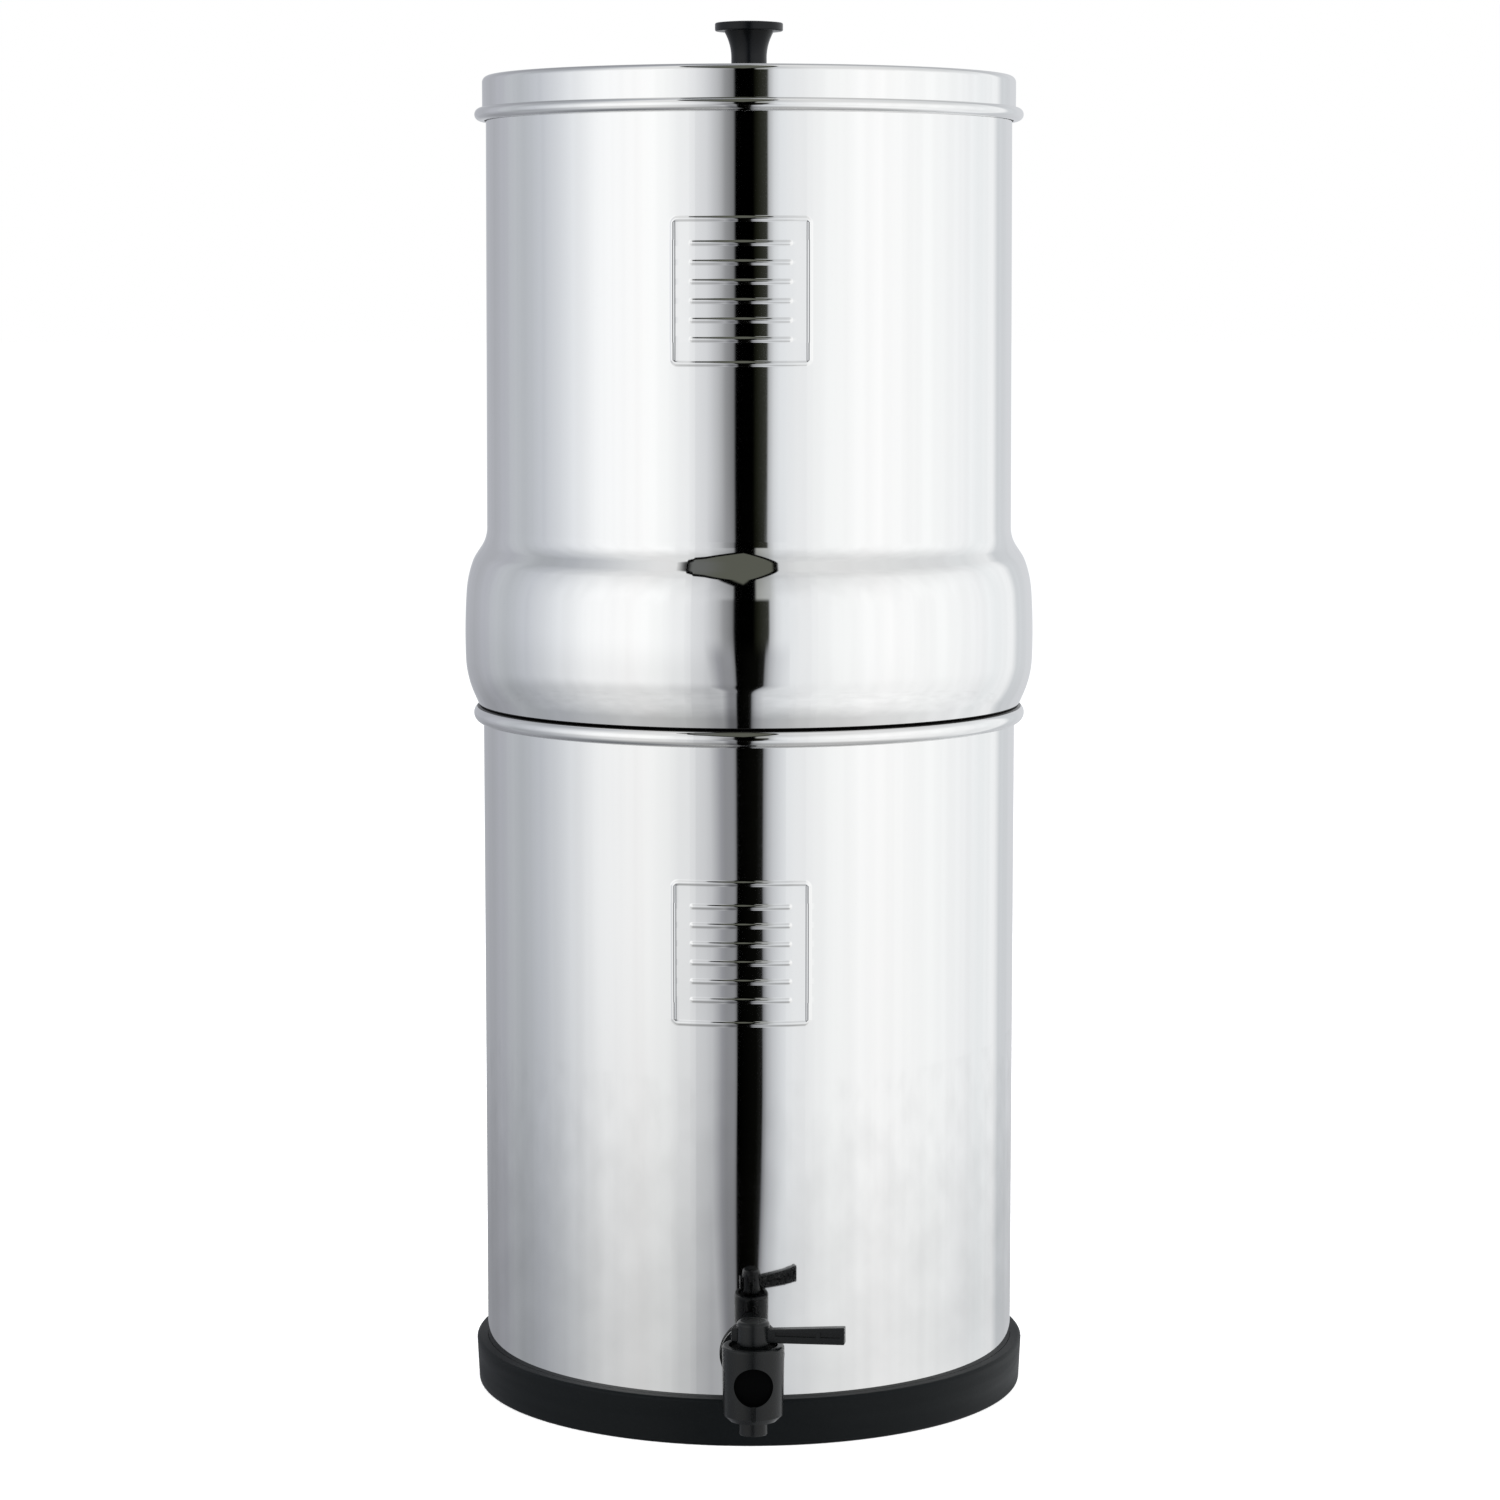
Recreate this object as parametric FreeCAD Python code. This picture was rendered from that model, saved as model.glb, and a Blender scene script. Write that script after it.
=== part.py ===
"""Gravity water filter with a tap: two stacked steel vessels, a lid, filter candles and a base ring.

Each function makes one piece, and each piece is written to one STEP file in the folder parts.
Lengths are in millimetres, Z is up, the vessels share the Z axis and the tap stands on the -Y side.
The origin is the centre of the face that the base ring stands on.
"""

import FreeCAD
import Part

import math
import os

# Sheet steel
WALL = 0.8

# Base ring, around the foot of the lower vessel
RING_WALL = 4.3
RING_DRAFT = 0.8
RING_HEIGHT = 18.5
RING_LEDGE = 4.0
RING_LEDGE_WIDTH = 16.0
RING_EDGE = 1.4
RING_GAP = 0.1

# Lower vessel, with a wired rim that the upper vessel stands on
LOWER_RADIUS = 106.9
LOWER_HEIGHT = 273.1
LOWER_CORNER = 6.0
RIM_OVERHANG = 3.9
RIM_BEAD = 3.5
RIM_LAND = 0.1

# Upper vessel: neck, bulge, shoulder and a slightly tapered wall. Heights are above its seat
NECK_GAP = 0.8
NECK_DEPTH = 15.0
NECK_CORNER = 5.0
SEAT_WIDTH = 2.4
SEAT_CURVE = 1.4
BULGE_OUT = 7.15
BULGE_FOOT_LEAN = 24.0
BULGE_LOW_LEAN = 2.0
BULGE_HIGH_LEAN = 4.0
BULGE_LOW_CURVE = 39.4
BULGE_CURVE = 254.0
SHOULDER_START_LEAN = 20.0
SHOULDER_LEAN = 34.0
SHOULDER_HIGH_CURVE = 43.0
SHOULDER_OUT_CURVE = 15.0
SHOULDER_IN_CURVE = 14.0
UPPER_STEP = 1.85
UPPER_TAPER = 0.65
UPPER_HEIGHT = 248.25

# Raised frames with straight ribs, pressed in the front of both vessels
PANEL_WIDTH = 53.0
PANEL_HEIGHT = 55.4
PANEL_LINE = 1.3
PANEL_PROUD = 0.45
PANEL_RIBS = 6
PANEL_RIB_LENGTH = 38.0
PANEL_RIB_PITCH = 7.2
PANEL_TURN = -2.3
UPPER_PANEL_HEIGHT = 165.0
LOWER_PANEL_HEIGHT = 186.0

# Lid with a wired lower edge. The bend round its top stands on the upper vessel's edge
LID_GAP = 0.7
LID_REST = 0.02
LID_SKIRT = 16.7
LID_CORNER = 2.5
LID_BEAD = 2.5
LID_BEAD_OUT = 3.1
LID_HOLE_GAP = 0.3

# Lid knob and what holds it
KNOB_HEIGHT = 21.9
KNOB_FOOT_RADIUS = 9.5
KNOB_FOOT_HEIGHT = 1.6
KNOB_THROAT = 10.4
KNOB_THROAT_CURVE = 20.4
KNOB_NECK_RADIUS = 7.05
KNOB_HEAD_RADIUS = 13.5
KNOB_HEAD_HEIGHT = 3.3
KNOB_CROWN = 0.7
KNOB_EDGE = 0.6
KNOB_SCREW_RADIUS = 2.5
KNOB_SCREW_DEPTH = 13.0
KNOB_SCREW_SHORT = 1.0
KNOB_SCREW_HEAD_RADIUS = 4.6
KNOB_SCREW_HEAD = 2.8
KNOB_SCREW_EDGE = 1.0
KNOB_SCREW_SLOT = 1.0
KNOB_WASHER_RADIUS = 7.5
KNOB_WASHER = 1.0

# Filter candles, standing on the upper vessel's floor
CANDLES = 4
CANDLE_CIRCLE = 56.0
CANDLE_RADIUS = 25.0
CANDLE_HEIGHT = 173.0
CANDLE_WALL = 7.0
CANDLE_CROWN = 16.0
CORE_RADIUS = 14.0
CORE_HEIGHT = 138.0
CORE_BORE = 5.0
CORE_CROWN = 10.0
MOUNT_WALL = 2.0
MOUNT_FLOOR = 5.0
MOUNT_DEPTH = 9.0
MOUNT_BOSS = 4.0
MOUNT_EDGE = 1.2
STEM_RADIUS = 5.0
STEM_LENGTH = 38.0
STEM_BORE = 2.5
CANDLE_FIT = 0.15
FLOOR_HOLE_GAP = 0.6
FILTER_WASHER = 2.0
FILTER_WASHER_RADIUS = 13.0

# Wing nuts on the candles' stems
WING_HUB_RADIUS = 8.0
WING_HUB_HEIGHT = 9.0
WING_REACH = 18.0
WING_DROP = 14.0
WING_THICKNESS = 3.0
WING_ROUND = 4.5
WING_ROOT = 2.0
THREAD_GAP = 0.05

# Tap. Its plug turns about a vertical axis in front of the vessel, and its barrel goes through the wall
TAP_OUT = 41.1
BARREL_HEIGHT = 36.2
BARREL_RADIUS = 8.5
BARREL_THREAD_RADIUS = 7.9
BARREL_BORE = 4.0
BARREL_INSIDE = 20.0
WALL_HOLE_GAP = 0.3
FLANGE_RADIUS = 12.3
FLANGE = 3.0
HOUSING_TOP_RADIUS = 11.7
HOUSING_FOOT_RADIUS = 11.35
HOUSING_TOP = 50.0
HOUSING_FOOT = 21.5
HOUSING_CHAMFER = 2.2
HOUSING_EDGE = 0.9
SPOUT_RADIUS = 5.4
SPOUT_BORE = 3.6
SPOUT_END = 15.9
DIMPLE_RADIUS = 7.35
DIMPLE_WALL = 1.4
GROOVE_WIDTH = 1.6
GROOVE_DEPTH = 1.0

# Tap plug with its cap, and the ring that keeps it in the housing
PLUG_RADIUS = 6.5
PLUG_FOOT = 24.5
PLUG_TOP = 46.0
PLUG_PORT = 3.2
PLUG_CHANNEL = 4.2
PORT_HEADROOM = 1.0
RUNNING_GAP = 0.05
STEM_WAIST_RADIUS = 5.2
CAP_RADIUS = 6.2
CAP_FOOT = 50.6
CAP_TOP = 59.3
CAP_EDGE = 1.6
BONNET_RADIUS = 9.2
BONNET = 2.8
SEAL_SECTION = 1.2
SEAL_FIT = 0.02
SEAL_HEIGHTS = (28.2, 43.4)

# Lever, a bar pushed through the cap
LEVER_ANGLE = -10.0
LEVER_LENGTH = 34.7
LEVER_TAIL = 8.1
LEVER_THICKNESS = 4.0
LEVER_FOOT = 51.2
LEVER_HEIGHT = 5.2
LEVER_END_FOOT = 51.6
LEVER_END_HEIGHT = 6.6
LEVER_EDGE = 0.5

# Washers and nut that clamp the barrel to the wall
TAP_WASHER_RADIUS = 12.5
TAP_OUTER_WASHER = 2.0
TAP_INNER_WASHER = 2.5
TAP_NUT_SIDES = 6
TAP_NUT_FLATS = 25.0
TAP_NUT = 7.0

# How far a cut reaches past the face it starts at
CUT_PAST = 1.0

# Places that follow from the sizes above
FULL_TURN = 360.0
RING_INSIDE = LOWER_RADIUS + RING_GAP
RING_TOP_RADIUS = RING_INSIDE + RING_WALL
RING_FOOT_RADIUS = RING_TOP_RADIUS - RING_DRAFT
LOWER_FLOOR = RING_LEDGE
SEAT = LOWER_FLOOR + LOWER_HEIGHT
LOWER_INSIDE = LOWER_RADIUS - WALL
RIM_RADIUS = LOWER_RADIUS + RIM_OVERHANG
NECK_RADIUS = LOWER_INSIDE - NECK_GAP
BULGE_RADIUS = LOWER_RADIUS + BULGE_OUT
UPPER_FOOT_RADIUS = LOWER_RADIUS - UPPER_STEP
UPPER_TOP_RADIUS = UPPER_FOOT_RADIUS - UPPER_TAPER
UPPER_FLOOR = SEAT - NECK_DEPTH
UPPER_TOP = SEAT + UPPER_HEIGHT
LID_INSIDE = UPPER_TOP_RADIUS + LID_GAP
LID_RADIUS = LID_INSIDE + WALL
LID_BEAD_RADIUS = LID_RADIUS + LID_BEAD_OUT
LID_BEND = LID_CORNER - WALL
LID_BEND_RISE = math.sqrt(LID_BEND ** 2 - (LID_BEND - LID_GAP) ** 2)
LID_UNDER = UPPER_TOP + LID_REST + LID_BEND - LID_BEND_RISE
LID_TOP = LID_UNDER + WALL
TAP_REACH = LOWER_RADIUS + TAP_OUT
WASHER_FOOT = UPPER_FLOOR + WALL
MOUNT_FOOT = WASHER_FOOT + FILTER_WASHER
CANDLE_FOOT = MOUNT_FOOT + MOUNT_FLOOR
BARREL_FACE = LOWER_RADIUS + TAP_OUTER_WASHER
BARREL_END = LOWER_INSIDE - BARREL_INSIDE
NUT_FACE = LOWER_INSIDE - TAP_INNER_WASHER
PLUG_BORE = PLUG_RADIUS + RUNNING_GAP


def vector(x, y, z):
    """A point or a direction."""
    return FreeCAD.Vector(x, y, z)


UP = vector(0, 0, 1)
TO_BACK = vector(0, 1, 0)
TAP_AXIS = vector(0, -TAP_REACH, 0)


def bend(centre, radius, start, stop):
    """Middle and end of an arc about a centre in the half section, between two angles in degrees."""
    places = []
    for angle in ((start + stop) / 2, stop):
        along = radius * math.cos(math.radians(angle))
        up = radius * math.sin(math.radians(angle))
        places.append((centre[0] + along, centre[1] + up))
    return tuple(places)


def onward(place, radius, start, stop):
    """The same arc stop as bend gives, for an arc that starts at a place."""
    along = radius * math.cos(math.radians(start))
    up = radius * math.sin(math.radians(start))
    return bend((place[0] - along, place[1] - up), radius, start, stop)


def dome(radius, rise, top):
    """The arc of a round crown, from its edge to its top, as an arc stop."""
    sphere = (radius ** 2 + rise ** 2) / (2 * rise)
    edge = math.degrees(math.asin((sphere - rise) / sphere))
    return bend((0, top - sphere), sphere, edge, 90)


def edges_through(stops):
    """Edges in the XZ plane. A stop is the end of a straight run, or the middle and end of an arc."""
    edges = []
    here = vector(stops[0][0], 0, stops[0][1])
    for stop in stops[1:]:
        if isinstance(stop[0], tuple):
            middle, end = (vector(x, 0, z) for x, z in stop)
            edges.append(Part.Arc(here, middle, end).toShape())
        else:
            end = vector(stop[0], 0, stop[1])
            edges.append(Part.LineSegment(here, end).toShape())
        here = end
    return edges


def flat(*stops):
    """A face in the XZ plane inside a closed run of stops. A line joins the last stop to the first."""
    return Part.Face(Part.Wire(edges_through(stops + (stops[0],))))


def turned(*stops):
    """A solid turned about Z from a closed half section."""
    return flat(*stops).revolve(vector(0, 0, 0), UP, FULL_TURN)


def rod(radius, low, high):
    """An upright cylinder about Z between two heights."""
    return Part.makeCylinder(radius, high - low, vector(0, 0, low), UP)


def barrel(radius, front, back):
    """A cylinder along Y at the barrel's height, between two distances in front of the Z axis."""
    return Part.makeCylinder(radius, front - back, vector(0, -front, BARREL_HEIGHT), TO_BACK)


def tube(radius, bore, low, high):
    """An upright tube about Z between two heights."""
    return rod(radius, low, high).cut(rod(bore, low, high))


def block(x_size, y_low, y_high, z_low, z_high):
    """A box centred on X."""
    corner = vector(-x_size / 2, y_low, z_low)
    return Part.makeBox(x_size, y_high - y_low, z_high - z_low, corner)


def at_tap(solid):
    """Moves a solid from the Z axis to the tap's axis."""
    return solid.translated(TAP_AXIS)


def at_candles(make_solid):
    """One copy of a solid at each candle's place."""
    solids = []
    for index in range(CANDLES):
        solid = make_solid().translated(vector(CANDLE_CIRCLE, 0, 0))
        solid.rotate(vector(0, 0, 0), UP, FULL_TURN * (index + 0.5) / CANDLES)
        solids.append(solid)
    return solids


def panel(foot, foot_radius, top_radius):
    """The raised frame and ribs on a wall with one radius at their foot and another at their top."""
    top = foot + PANEL_HEIGHT
    middle = (foot + top) / 2
    layer = turned(
        (foot_radius - WALL / 2, foot),
        (foot_radius + PANEL_PROUD, foot),
        (top_radius + PANEL_PROUD, top),
        (top_radius - WALL / 2, top),
    )
    front = -2 * BULGE_RADIUS
    outer = block(PANEL_WIDTH, front, 0, foot, top)
    inner = block(PANEL_WIDTH - 2 * PANEL_LINE, front, 0, foot + PANEL_LINE, top - PANEL_LINE)
    lines = [outer.cut(inner)]
    for index in range(PANEL_RIBS):
        rib = middle + (index - (PANEL_RIBS - 1) / 2) * PANEL_RIB_PITCH
        lines.append(block(PANEL_RIB_LENGTH, front, 0, rib - PANEL_LINE / 2, rib + PANEL_LINE / 2))
    raised = layer.common(lines)
    raised.rotate(vector(0, 0, 0), UP, PANEL_TURN)
    return raised


def base_ring():
    """Rubber ring with a ledge under the lower vessel."""
    ledge = LOWER_RADIUS - RING_LEDGE_WIDTH
    corner = (RING_INSIDE - LOWER_CORNER, RING_LEDGE + LOWER_CORNER)
    return turned(
        (ledge, 0),
        (RING_FOOT_RADIUS - RING_EDGE, 0),
        bend((RING_FOOT_RADIUS - RING_EDGE, RING_EDGE), RING_EDGE, -90, 0),
        (RING_TOP_RADIUS, RING_HEIGHT - RING_EDGE),
        bend((RING_TOP_RADIUS - RING_EDGE, RING_HEIGHT - RING_EDGE), RING_EDGE, 0, 90),
        (RING_INSIDE, RING_HEIGHT),
        (RING_INSIDE, corner[1]),
        bend(corner, LOWER_CORNER, 0, -90),
        (ledge, RING_LEDGE),
    )


def lower_chamber():
    """Lower vessel with a wired rim, a raised panel and a hole for the tap's barrel."""
    corner = (LOWER_RADIUS - LOWER_CORNER, LOWER_FLOOR + LOWER_CORNER)
    bead = (RIM_RADIUS - RIM_BEAD, SEAT + RIM_LAND - RIM_BEAD)
    land = math.degrees(math.acos((RIM_BEAD - RIM_LAND) / RIM_BEAD))
    under = math.degrees(math.acos((LOWER_RADIUS - bead[0]) / RIM_BEAD))
    land_end = bend(bead, RIM_BEAD, 0, 90 - land)[1]
    shell = turned(
        (0, LOWER_FLOOR),
        (corner[0], LOWER_FLOOR),
        bend(corner, LOWER_CORNER, -90, 0),
        bend(bead, RIM_BEAD, -under, -under)[1],
        bend(bead, RIM_BEAD, -under, 90 - land),
        (LOWER_INSIDE, land_end[1]),
        (LOWER_INSIDE, corner[1]),
        bend(corner, LOWER_CORNER - WALL, 0, -90),
        (0, LOWER_FLOOR + WALL),
    )
    panel_foot = LOWER_FLOOR + LOWER_PANEL_HEIGHT - PANEL_HEIGHT / 2
    shell = shell.fuse(panel(panel_foot, LOWER_RADIUS, LOWER_RADIUS))
    hole = barrel(BARREL_THREAD_RADIUS + WALL_HOLE_GAP, TAP_REACH, BARREL_END)
    return shell.cut(hole)


def upper_wall():
    """Stops along the outside of the upper vessel, from the middle of its floor to its top edge."""
    neck = (NECK_RADIUS - NECK_CORNER, UPPER_FLOOR + NECK_CORNER)
    seat_end = (NECK_RADIUS + SEAT_WIDTH, SEAT)
    seat_curve = onward(seat_end, SEAT_CURVE, -90, -BULGE_FOOT_LEAN)
    foot_lean = math.radians(BULGE_FOOT_LEAN)
    low_lean = math.radians(BULGE_LOW_LEAN)
    low_out = BULGE_LOW_CURVE * (math.cos(low_lean) - math.cos(foot_lean))
    crown_out = BULGE_CURVE * (1 - math.cos(low_lean))
    low_radius = BULGE_RADIUS - crown_out - low_out
    rise = (low_radius - seat_curve[1][0]) / math.tan(foot_lean)
    low = (low_radius, seat_curve[1][1] + rise)
    low_curve = onward(low, BULGE_LOW_CURVE, -BULGE_FOOT_LEAN, -BULGE_LOW_LEAN)
    crown = onward(low_curve[1], BULGE_CURVE, -BULGE_LOW_LEAN, BULGE_HIGH_LEAN)
    high_curve = onward(crown[1], SHOULDER_HIGH_CURVE, BULGE_HIGH_LEAN, SHOULDER_START_LEAN)
    out_curve = onward(high_curve[1], SHOULDER_OUT_CURVE, SHOULDER_START_LEAN, SHOULDER_LEAN)
    lean = math.radians(SHOULDER_LEAN)
    step_in = SHOULDER_IN_CURVE * (1 - math.cos(lean))
    in_start_radius = UPPER_FOOT_RADIUS + step_in
    fall = (out_curve[1][0] - in_start_radius) / math.tan(lean)
    in_start = (in_start_radius, out_curve[1][1] + fall)
    return (
        (0, UPPER_FLOOR),
        (neck[0], UPPER_FLOOR),
        bend(neck, NECK_CORNER, -90, 0),
        (NECK_RADIUS, SEAT),
        seat_end,
        seat_curve,
        low,
        low_curve,
        crown,
        high_curve,
        out_curve,
        in_start,
        onward(in_start, SHOULDER_IN_CURVE, 180 + SHOULDER_LEAN, 180),
        (UPPER_TOP_RADIUS, UPPER_TOP),
    )


def upper_radius(height):
    """Outside radius of the upper vessel's tapered wall at a height above its seat."""
    wall_foot = upper_wall()[-2][1]
    share = (SEAT + height - wall_foot[1]) / (UPPER_TOP - wall_foot[1])
    return wall_foot[0] + share * (UPPER_TOP_RADIUS - wall_foot[0])


def upper_chamber():
    """Upper vessel: one sheet from floor to top edge, a raised panel and holes for the candles' stems."""
    outside = Part.Wire(edges_through(upper_wall()))
    sheet = outside.makeOffset2D(WALL, 0, True, True, False)
    shell = sheet.revolve(vector(0, 0, 0), UP, FULL_TURN)
    foot = UPPER_PANEL_HEIGHT - PANEL_HEIGHT / 2
    top = UPPER_PANEL_HEIGHT + PANEL_HEIGHT / 2
    shell = shell.fuse(panel(SEAT + foot, upper_radius(foot), upper_radius(top)))
    floor_top = UPPER_FLOOR + WALL
    hole = rod(STEM_RADIUS + FLOOR_HOLE_GAP, UPPER_FLOOR - CUT_PAST, floor_top + CUT_PAST)
    return shell.cut(at_candles(hole.copy))


def lid():
    """Lid with a flat top, a skirt over the upper vessel and a wired lower edge."""
    foot = LID_UNDER - LID_SKIRT
    bead = (LID_BEAD_RADIUS - LID_BEAD, foot + LID_BEAD)
    over = math.degrees(math.acos((LID_RADIUS - bead[0]) / LID_BEAD))
    corner = (LID_RADIUS - LID_CORNER, LID_TOP - LID_CORNER)
    shell = turned(
        (0, LID_UNDER),
        (corner[0], LID_UNDER),
        bend(corner, LID_BEND, 90, 0),
        (LID_INSIDE, foot),
        (bead[0], foot),
        bend(bead, LID_BEAD, -90, over),
        (LID_RADIUS, corner[1]),
        bend(corner, LID_CORNER, 0, 90),
        (0, LID_TOP),
    )
    return shell.cut(rod(KNOB_SCREW_RADIUS + LID_HOLE_GAP, LID_UNDER - CUT_PAST, LID_TOP + CUT_PAST))


def lid_knob():
    """Knob with a small foot, a waisted neck and a disc head."""
    foot = LID_TOP
    head = LID_TOP + KNOB_HEIGHT - KNOB_CROWN - KNOB_HEAD_HEIGHT
    edge = KNOB_HEAD_RADIUS - KNOB_EDGE
    shoulder = head + KNOB_HEAD_HEIGHT
    foot_curve = KNOB_FOOT_RADIUS - KNOB_NECK_RADIUS
    throat = (KNOB_NECK_RADIUS + KNOB_THROAT_CURVE, head - KNOB_THROAT)
    flare = math.degrees(math.asin(KNOB_THROAT / KNOB_THROAT_CURVE))
    knob = turned(
        (0, foot),
        (KNOB_FOOT_RADIUS, foot),
        (KNOB_FOOT_RADIUS, foot + KNOB_FOOT_HEIGHT),
        bend((KNOB_FOOT_RADIUS, foot + KNOB_FOOT_HEIGHT + foot_curve), foot_curve, 270, 180),
        (KNOB_NECK_RADIUS, throat[1]),
        bend(throat, KNOB_THROAT_CURVE, 180, 180 - flare),
        (edge, head),
        bend((edge, head + KNOB_EDGE), KNOB_EDGE, -90, 0),
        (KNOB_HEAD_RADIUS, shoulder - KNOB_EDGE),
        bend((edge, shoulder - KNOB_EDGE), KNOB_EDGE, 0, 90),
        dome(edge, KNOB_CROWN, shoulder + KNOB_CROWN),
    )
    return knob.cut(rod(KNOB_SCREW_RADIUS + THREAD_GAP, foot, foot + KNOB_SCREW_DEPTH))


def lid_knob_washer():
    """Washer between the lid and the knob screw's head."""
    bore = KNOB_SCREW_RADIUS + LID_HOLE_GAP
    return tube(KNOB_WASHER_RADIUS, bore, LID_UNDER - KNOB_WASHER, LID_UNDER)


def lid_knob_screw():
    """Pan head screw from under the lid into the knob, with a cross slot."""
    seat = LID_UNDER - KNOB_WASHER
    foot = seat - KNOB_SCREW_HEAD
    end = LID_TOP + KNOB_SCREW_DEPTH - KNOB_SCREW_SHORT
    edge = KNOB_SCREW_HEAD_RADIUS - KNOB_SCREW_EDGE
    screw = turned(
        (0, foot),
        (edge, foot),
        bend((edge, foot + KNOB_SCREW_EDGE), KNOB_SCREW_EDGE, -90, 0),
        (KNOB_SCREW_HEAD_RADIUS, seat),
        (KNOB_SCREW_RADIUS, seat),
        (KNOB_SCREW_RADIUS, end),
        (0, end),
    )
    half = KNOB_SCREW_SLOT / 2
    slot = block(2 * KNOB_SCREW_RADIUS, -half, half, foot, foot + KNOB_SCREW_HEAD / 2)
    cross = slot.copy()
    cross.rotate(vector(0, 0, 0), UP, 90)
    return screw.cut([slot, cross])


def filter_shell():
    """Ceramic candle, hollow and closed by a crown."""
    top = CANDLE_FOOT + CANDLE_HEIGHT
    inside = CANDLE_RADIUS - CANDLE_WALL
    crown = CANDLE_CROWN * inside / CANDLE_RADIUS
    return turned(
        (inside, CANDLE_FOOT),
        (CANDLE_RADIUS, CANDLE_FOOT),
        (CANDLE_RADIUS, top - CANDLE_CROWN),
        dome(CANDLE_RADIUS, CANDLE_CROWN, top),
        (0, top - CANDLE_WALL),
        (tuple(dome(inside, crown, top - CANDLE_WALL)[0]), (inside, top - CANDLE_WALL - crown)),
    )


def filter_core():
    """Carbon core on the boss of the candle's end cap."""
    top = CANDLE_FOOT + CORE_HEIGHT
    return turned(
        (CORE_BORE, CANDLE_FOOT),
        (CORE_RADIUS, CANDLE_FOOT),
        (CORE_RADIUS, top),
        (0, top),
        (0, top - CORE_CROWN),
        (CORE_BORE, top - CORE_CROWN),
    )


def filter_mount():
    """Plastic end cap: a cup for the candle, a boss for the core and a hollow threaded stem."""
    inside = CANDLE_RADIUS + CANDLE_FIT
    outside = inside + MOUNT_WALL
    cup_top = CANDLE_FOOT + MOUNT_DEPTH
    boss = CORE_BORE - CANDLE_FIT
    return turned(
        (STEM_BORE, MOUNT_FOOT - STEM_LENGTH),
        (STEM_RADIUS, MOUNT_FOOT - STEM_LENGTH),
        (STEM_RADIUS, MOUNT_FOOT),
        (outside - MOUNT_EDGE, MOUNT_FOOT),
        bend((outside - MOUNT_EDGE, MOUNT_FOOT + MOUNT_EDGE), MOUNT_EDGE, -90, 0),
        (outside, cup_top),
        (inside, cup_top),
        (inside, CANDLE_FOOT),
        (boss, CANDLE_FOOT),
        (boss, CANDLE_FOOT + MOUNT_BOSS),
        (STEM_BORE, CANDLE_FOOT + MOUNT_BOSS),
    )


def filter_washer():
    """Rubber washer between a candle and the floor."""
    return tube(FILTER_WASHER_RADIUS, STEM_RADIUS + FLOOR_HOLE_GAP, WASHER_FOOT, MOUNT_FOOT)


def filter_wing_nut():
    """Wing nut under the floor, on a candle's stem."""
    top = UPPER_FLOOR
    nut = rod(WING_HUB_RADIUS, top - WING_HUB_HEIGHT, top)
    root = -WING_HUB_RADIUS / 2
    tip = (-WING_REACH + WING_ROUND, top - WING_DROP + WING_ROUND)
    wings = flat(
        (root, top - WING_ROOT),
        (tip[0], tip[1] + WING_ROUND),
        bend(tip, WING_ROUND, 90, 270),
        (root, top - WING_HUB_HEIGHT),
    )
    wing = wings.extrude(vector(0, WING_THICKNESS, 0)).translated(vector(0, -WING_THICKNESS / 2, 0))
    other = wing.copy()
    other.rotate(vector(0, 0, 0), UP, FULL_TURN / 2)
    nut = nut.fuse([wing, other])
    return nut.cut(rod(STEM_RADIUS + THREAD_GAP, top - WING_DROP, top))


def tap_body():
    """Tap housing with its spout, its barrel through the wall, a round dimple and a groove at the front."""
    edge = HOUSING_TOP_RADIUS - HOUSING_EDGE
    housing = turned(
        (0, HOUSING_FOOT),
        (HOUSING_FOOT_RADIUS - HOUSING_CHAMFER, HOUSING_FOOT),
        (HOUSING_FOOT_RADIUS, HOUSING_FOOT + HOUSING_CHAMFER),
        (HOUSING_TOP_RADIUS, HOUSING_TOP - HOUSING_EDGE),
        bend((edge, HOUSING_TOP - HOUSING_EDGE), HOUSING_EDGE, 0, 90),
        (0, HOUSING_TOP),
    )
    housing = housing.fuse(rod(SPOUT_RADIUS, SPOUT_END, PLUG_FOOT))
    body = at_tap(housing).fuse(
        [
            barrel(BARREL_RADIUS, TAP_REACH, BARREL_FACE),
            barrel(FLANGE_RADIUS, BARREL_FACE + FLANGE, BARREL_FACE),
            barrel(BARREL_THREAD_RADIUS, BARREL_FACE, BARREL_END),
        ]
    )
    dimple_floor = TAP_REACH + PLUG_BORE + DIMPLE_WALL
    front = TAP_REACH + HOUSING_TOP_RADIUS
    cuts = [
        at_tap(rod(PLUG_BORE, PLUG_FOOT, HOUSING_TOP)),
        at_tap(rod(SPOUT_BORE, SPOUT_END, PLUG_FOOT)),
        at_tap(rod(BONNET_RADIUS + RUNNING_GAP, PLUG_TOP, HOUSING_TOP)),
        barrel(BARREL_BORE, TAP_REACH, BARREL_END),
        barrel(DIMPLE_RADIUS, front + CUT_PAST, dimple_floor),
        block(GROOVE_WIDTH, -front - CUT_PAST, GROOVE_DEPTH - front, HOUSING_FOOT, BARREL_HEIGHT),
    ]
    return body.cut(cuts)


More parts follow.
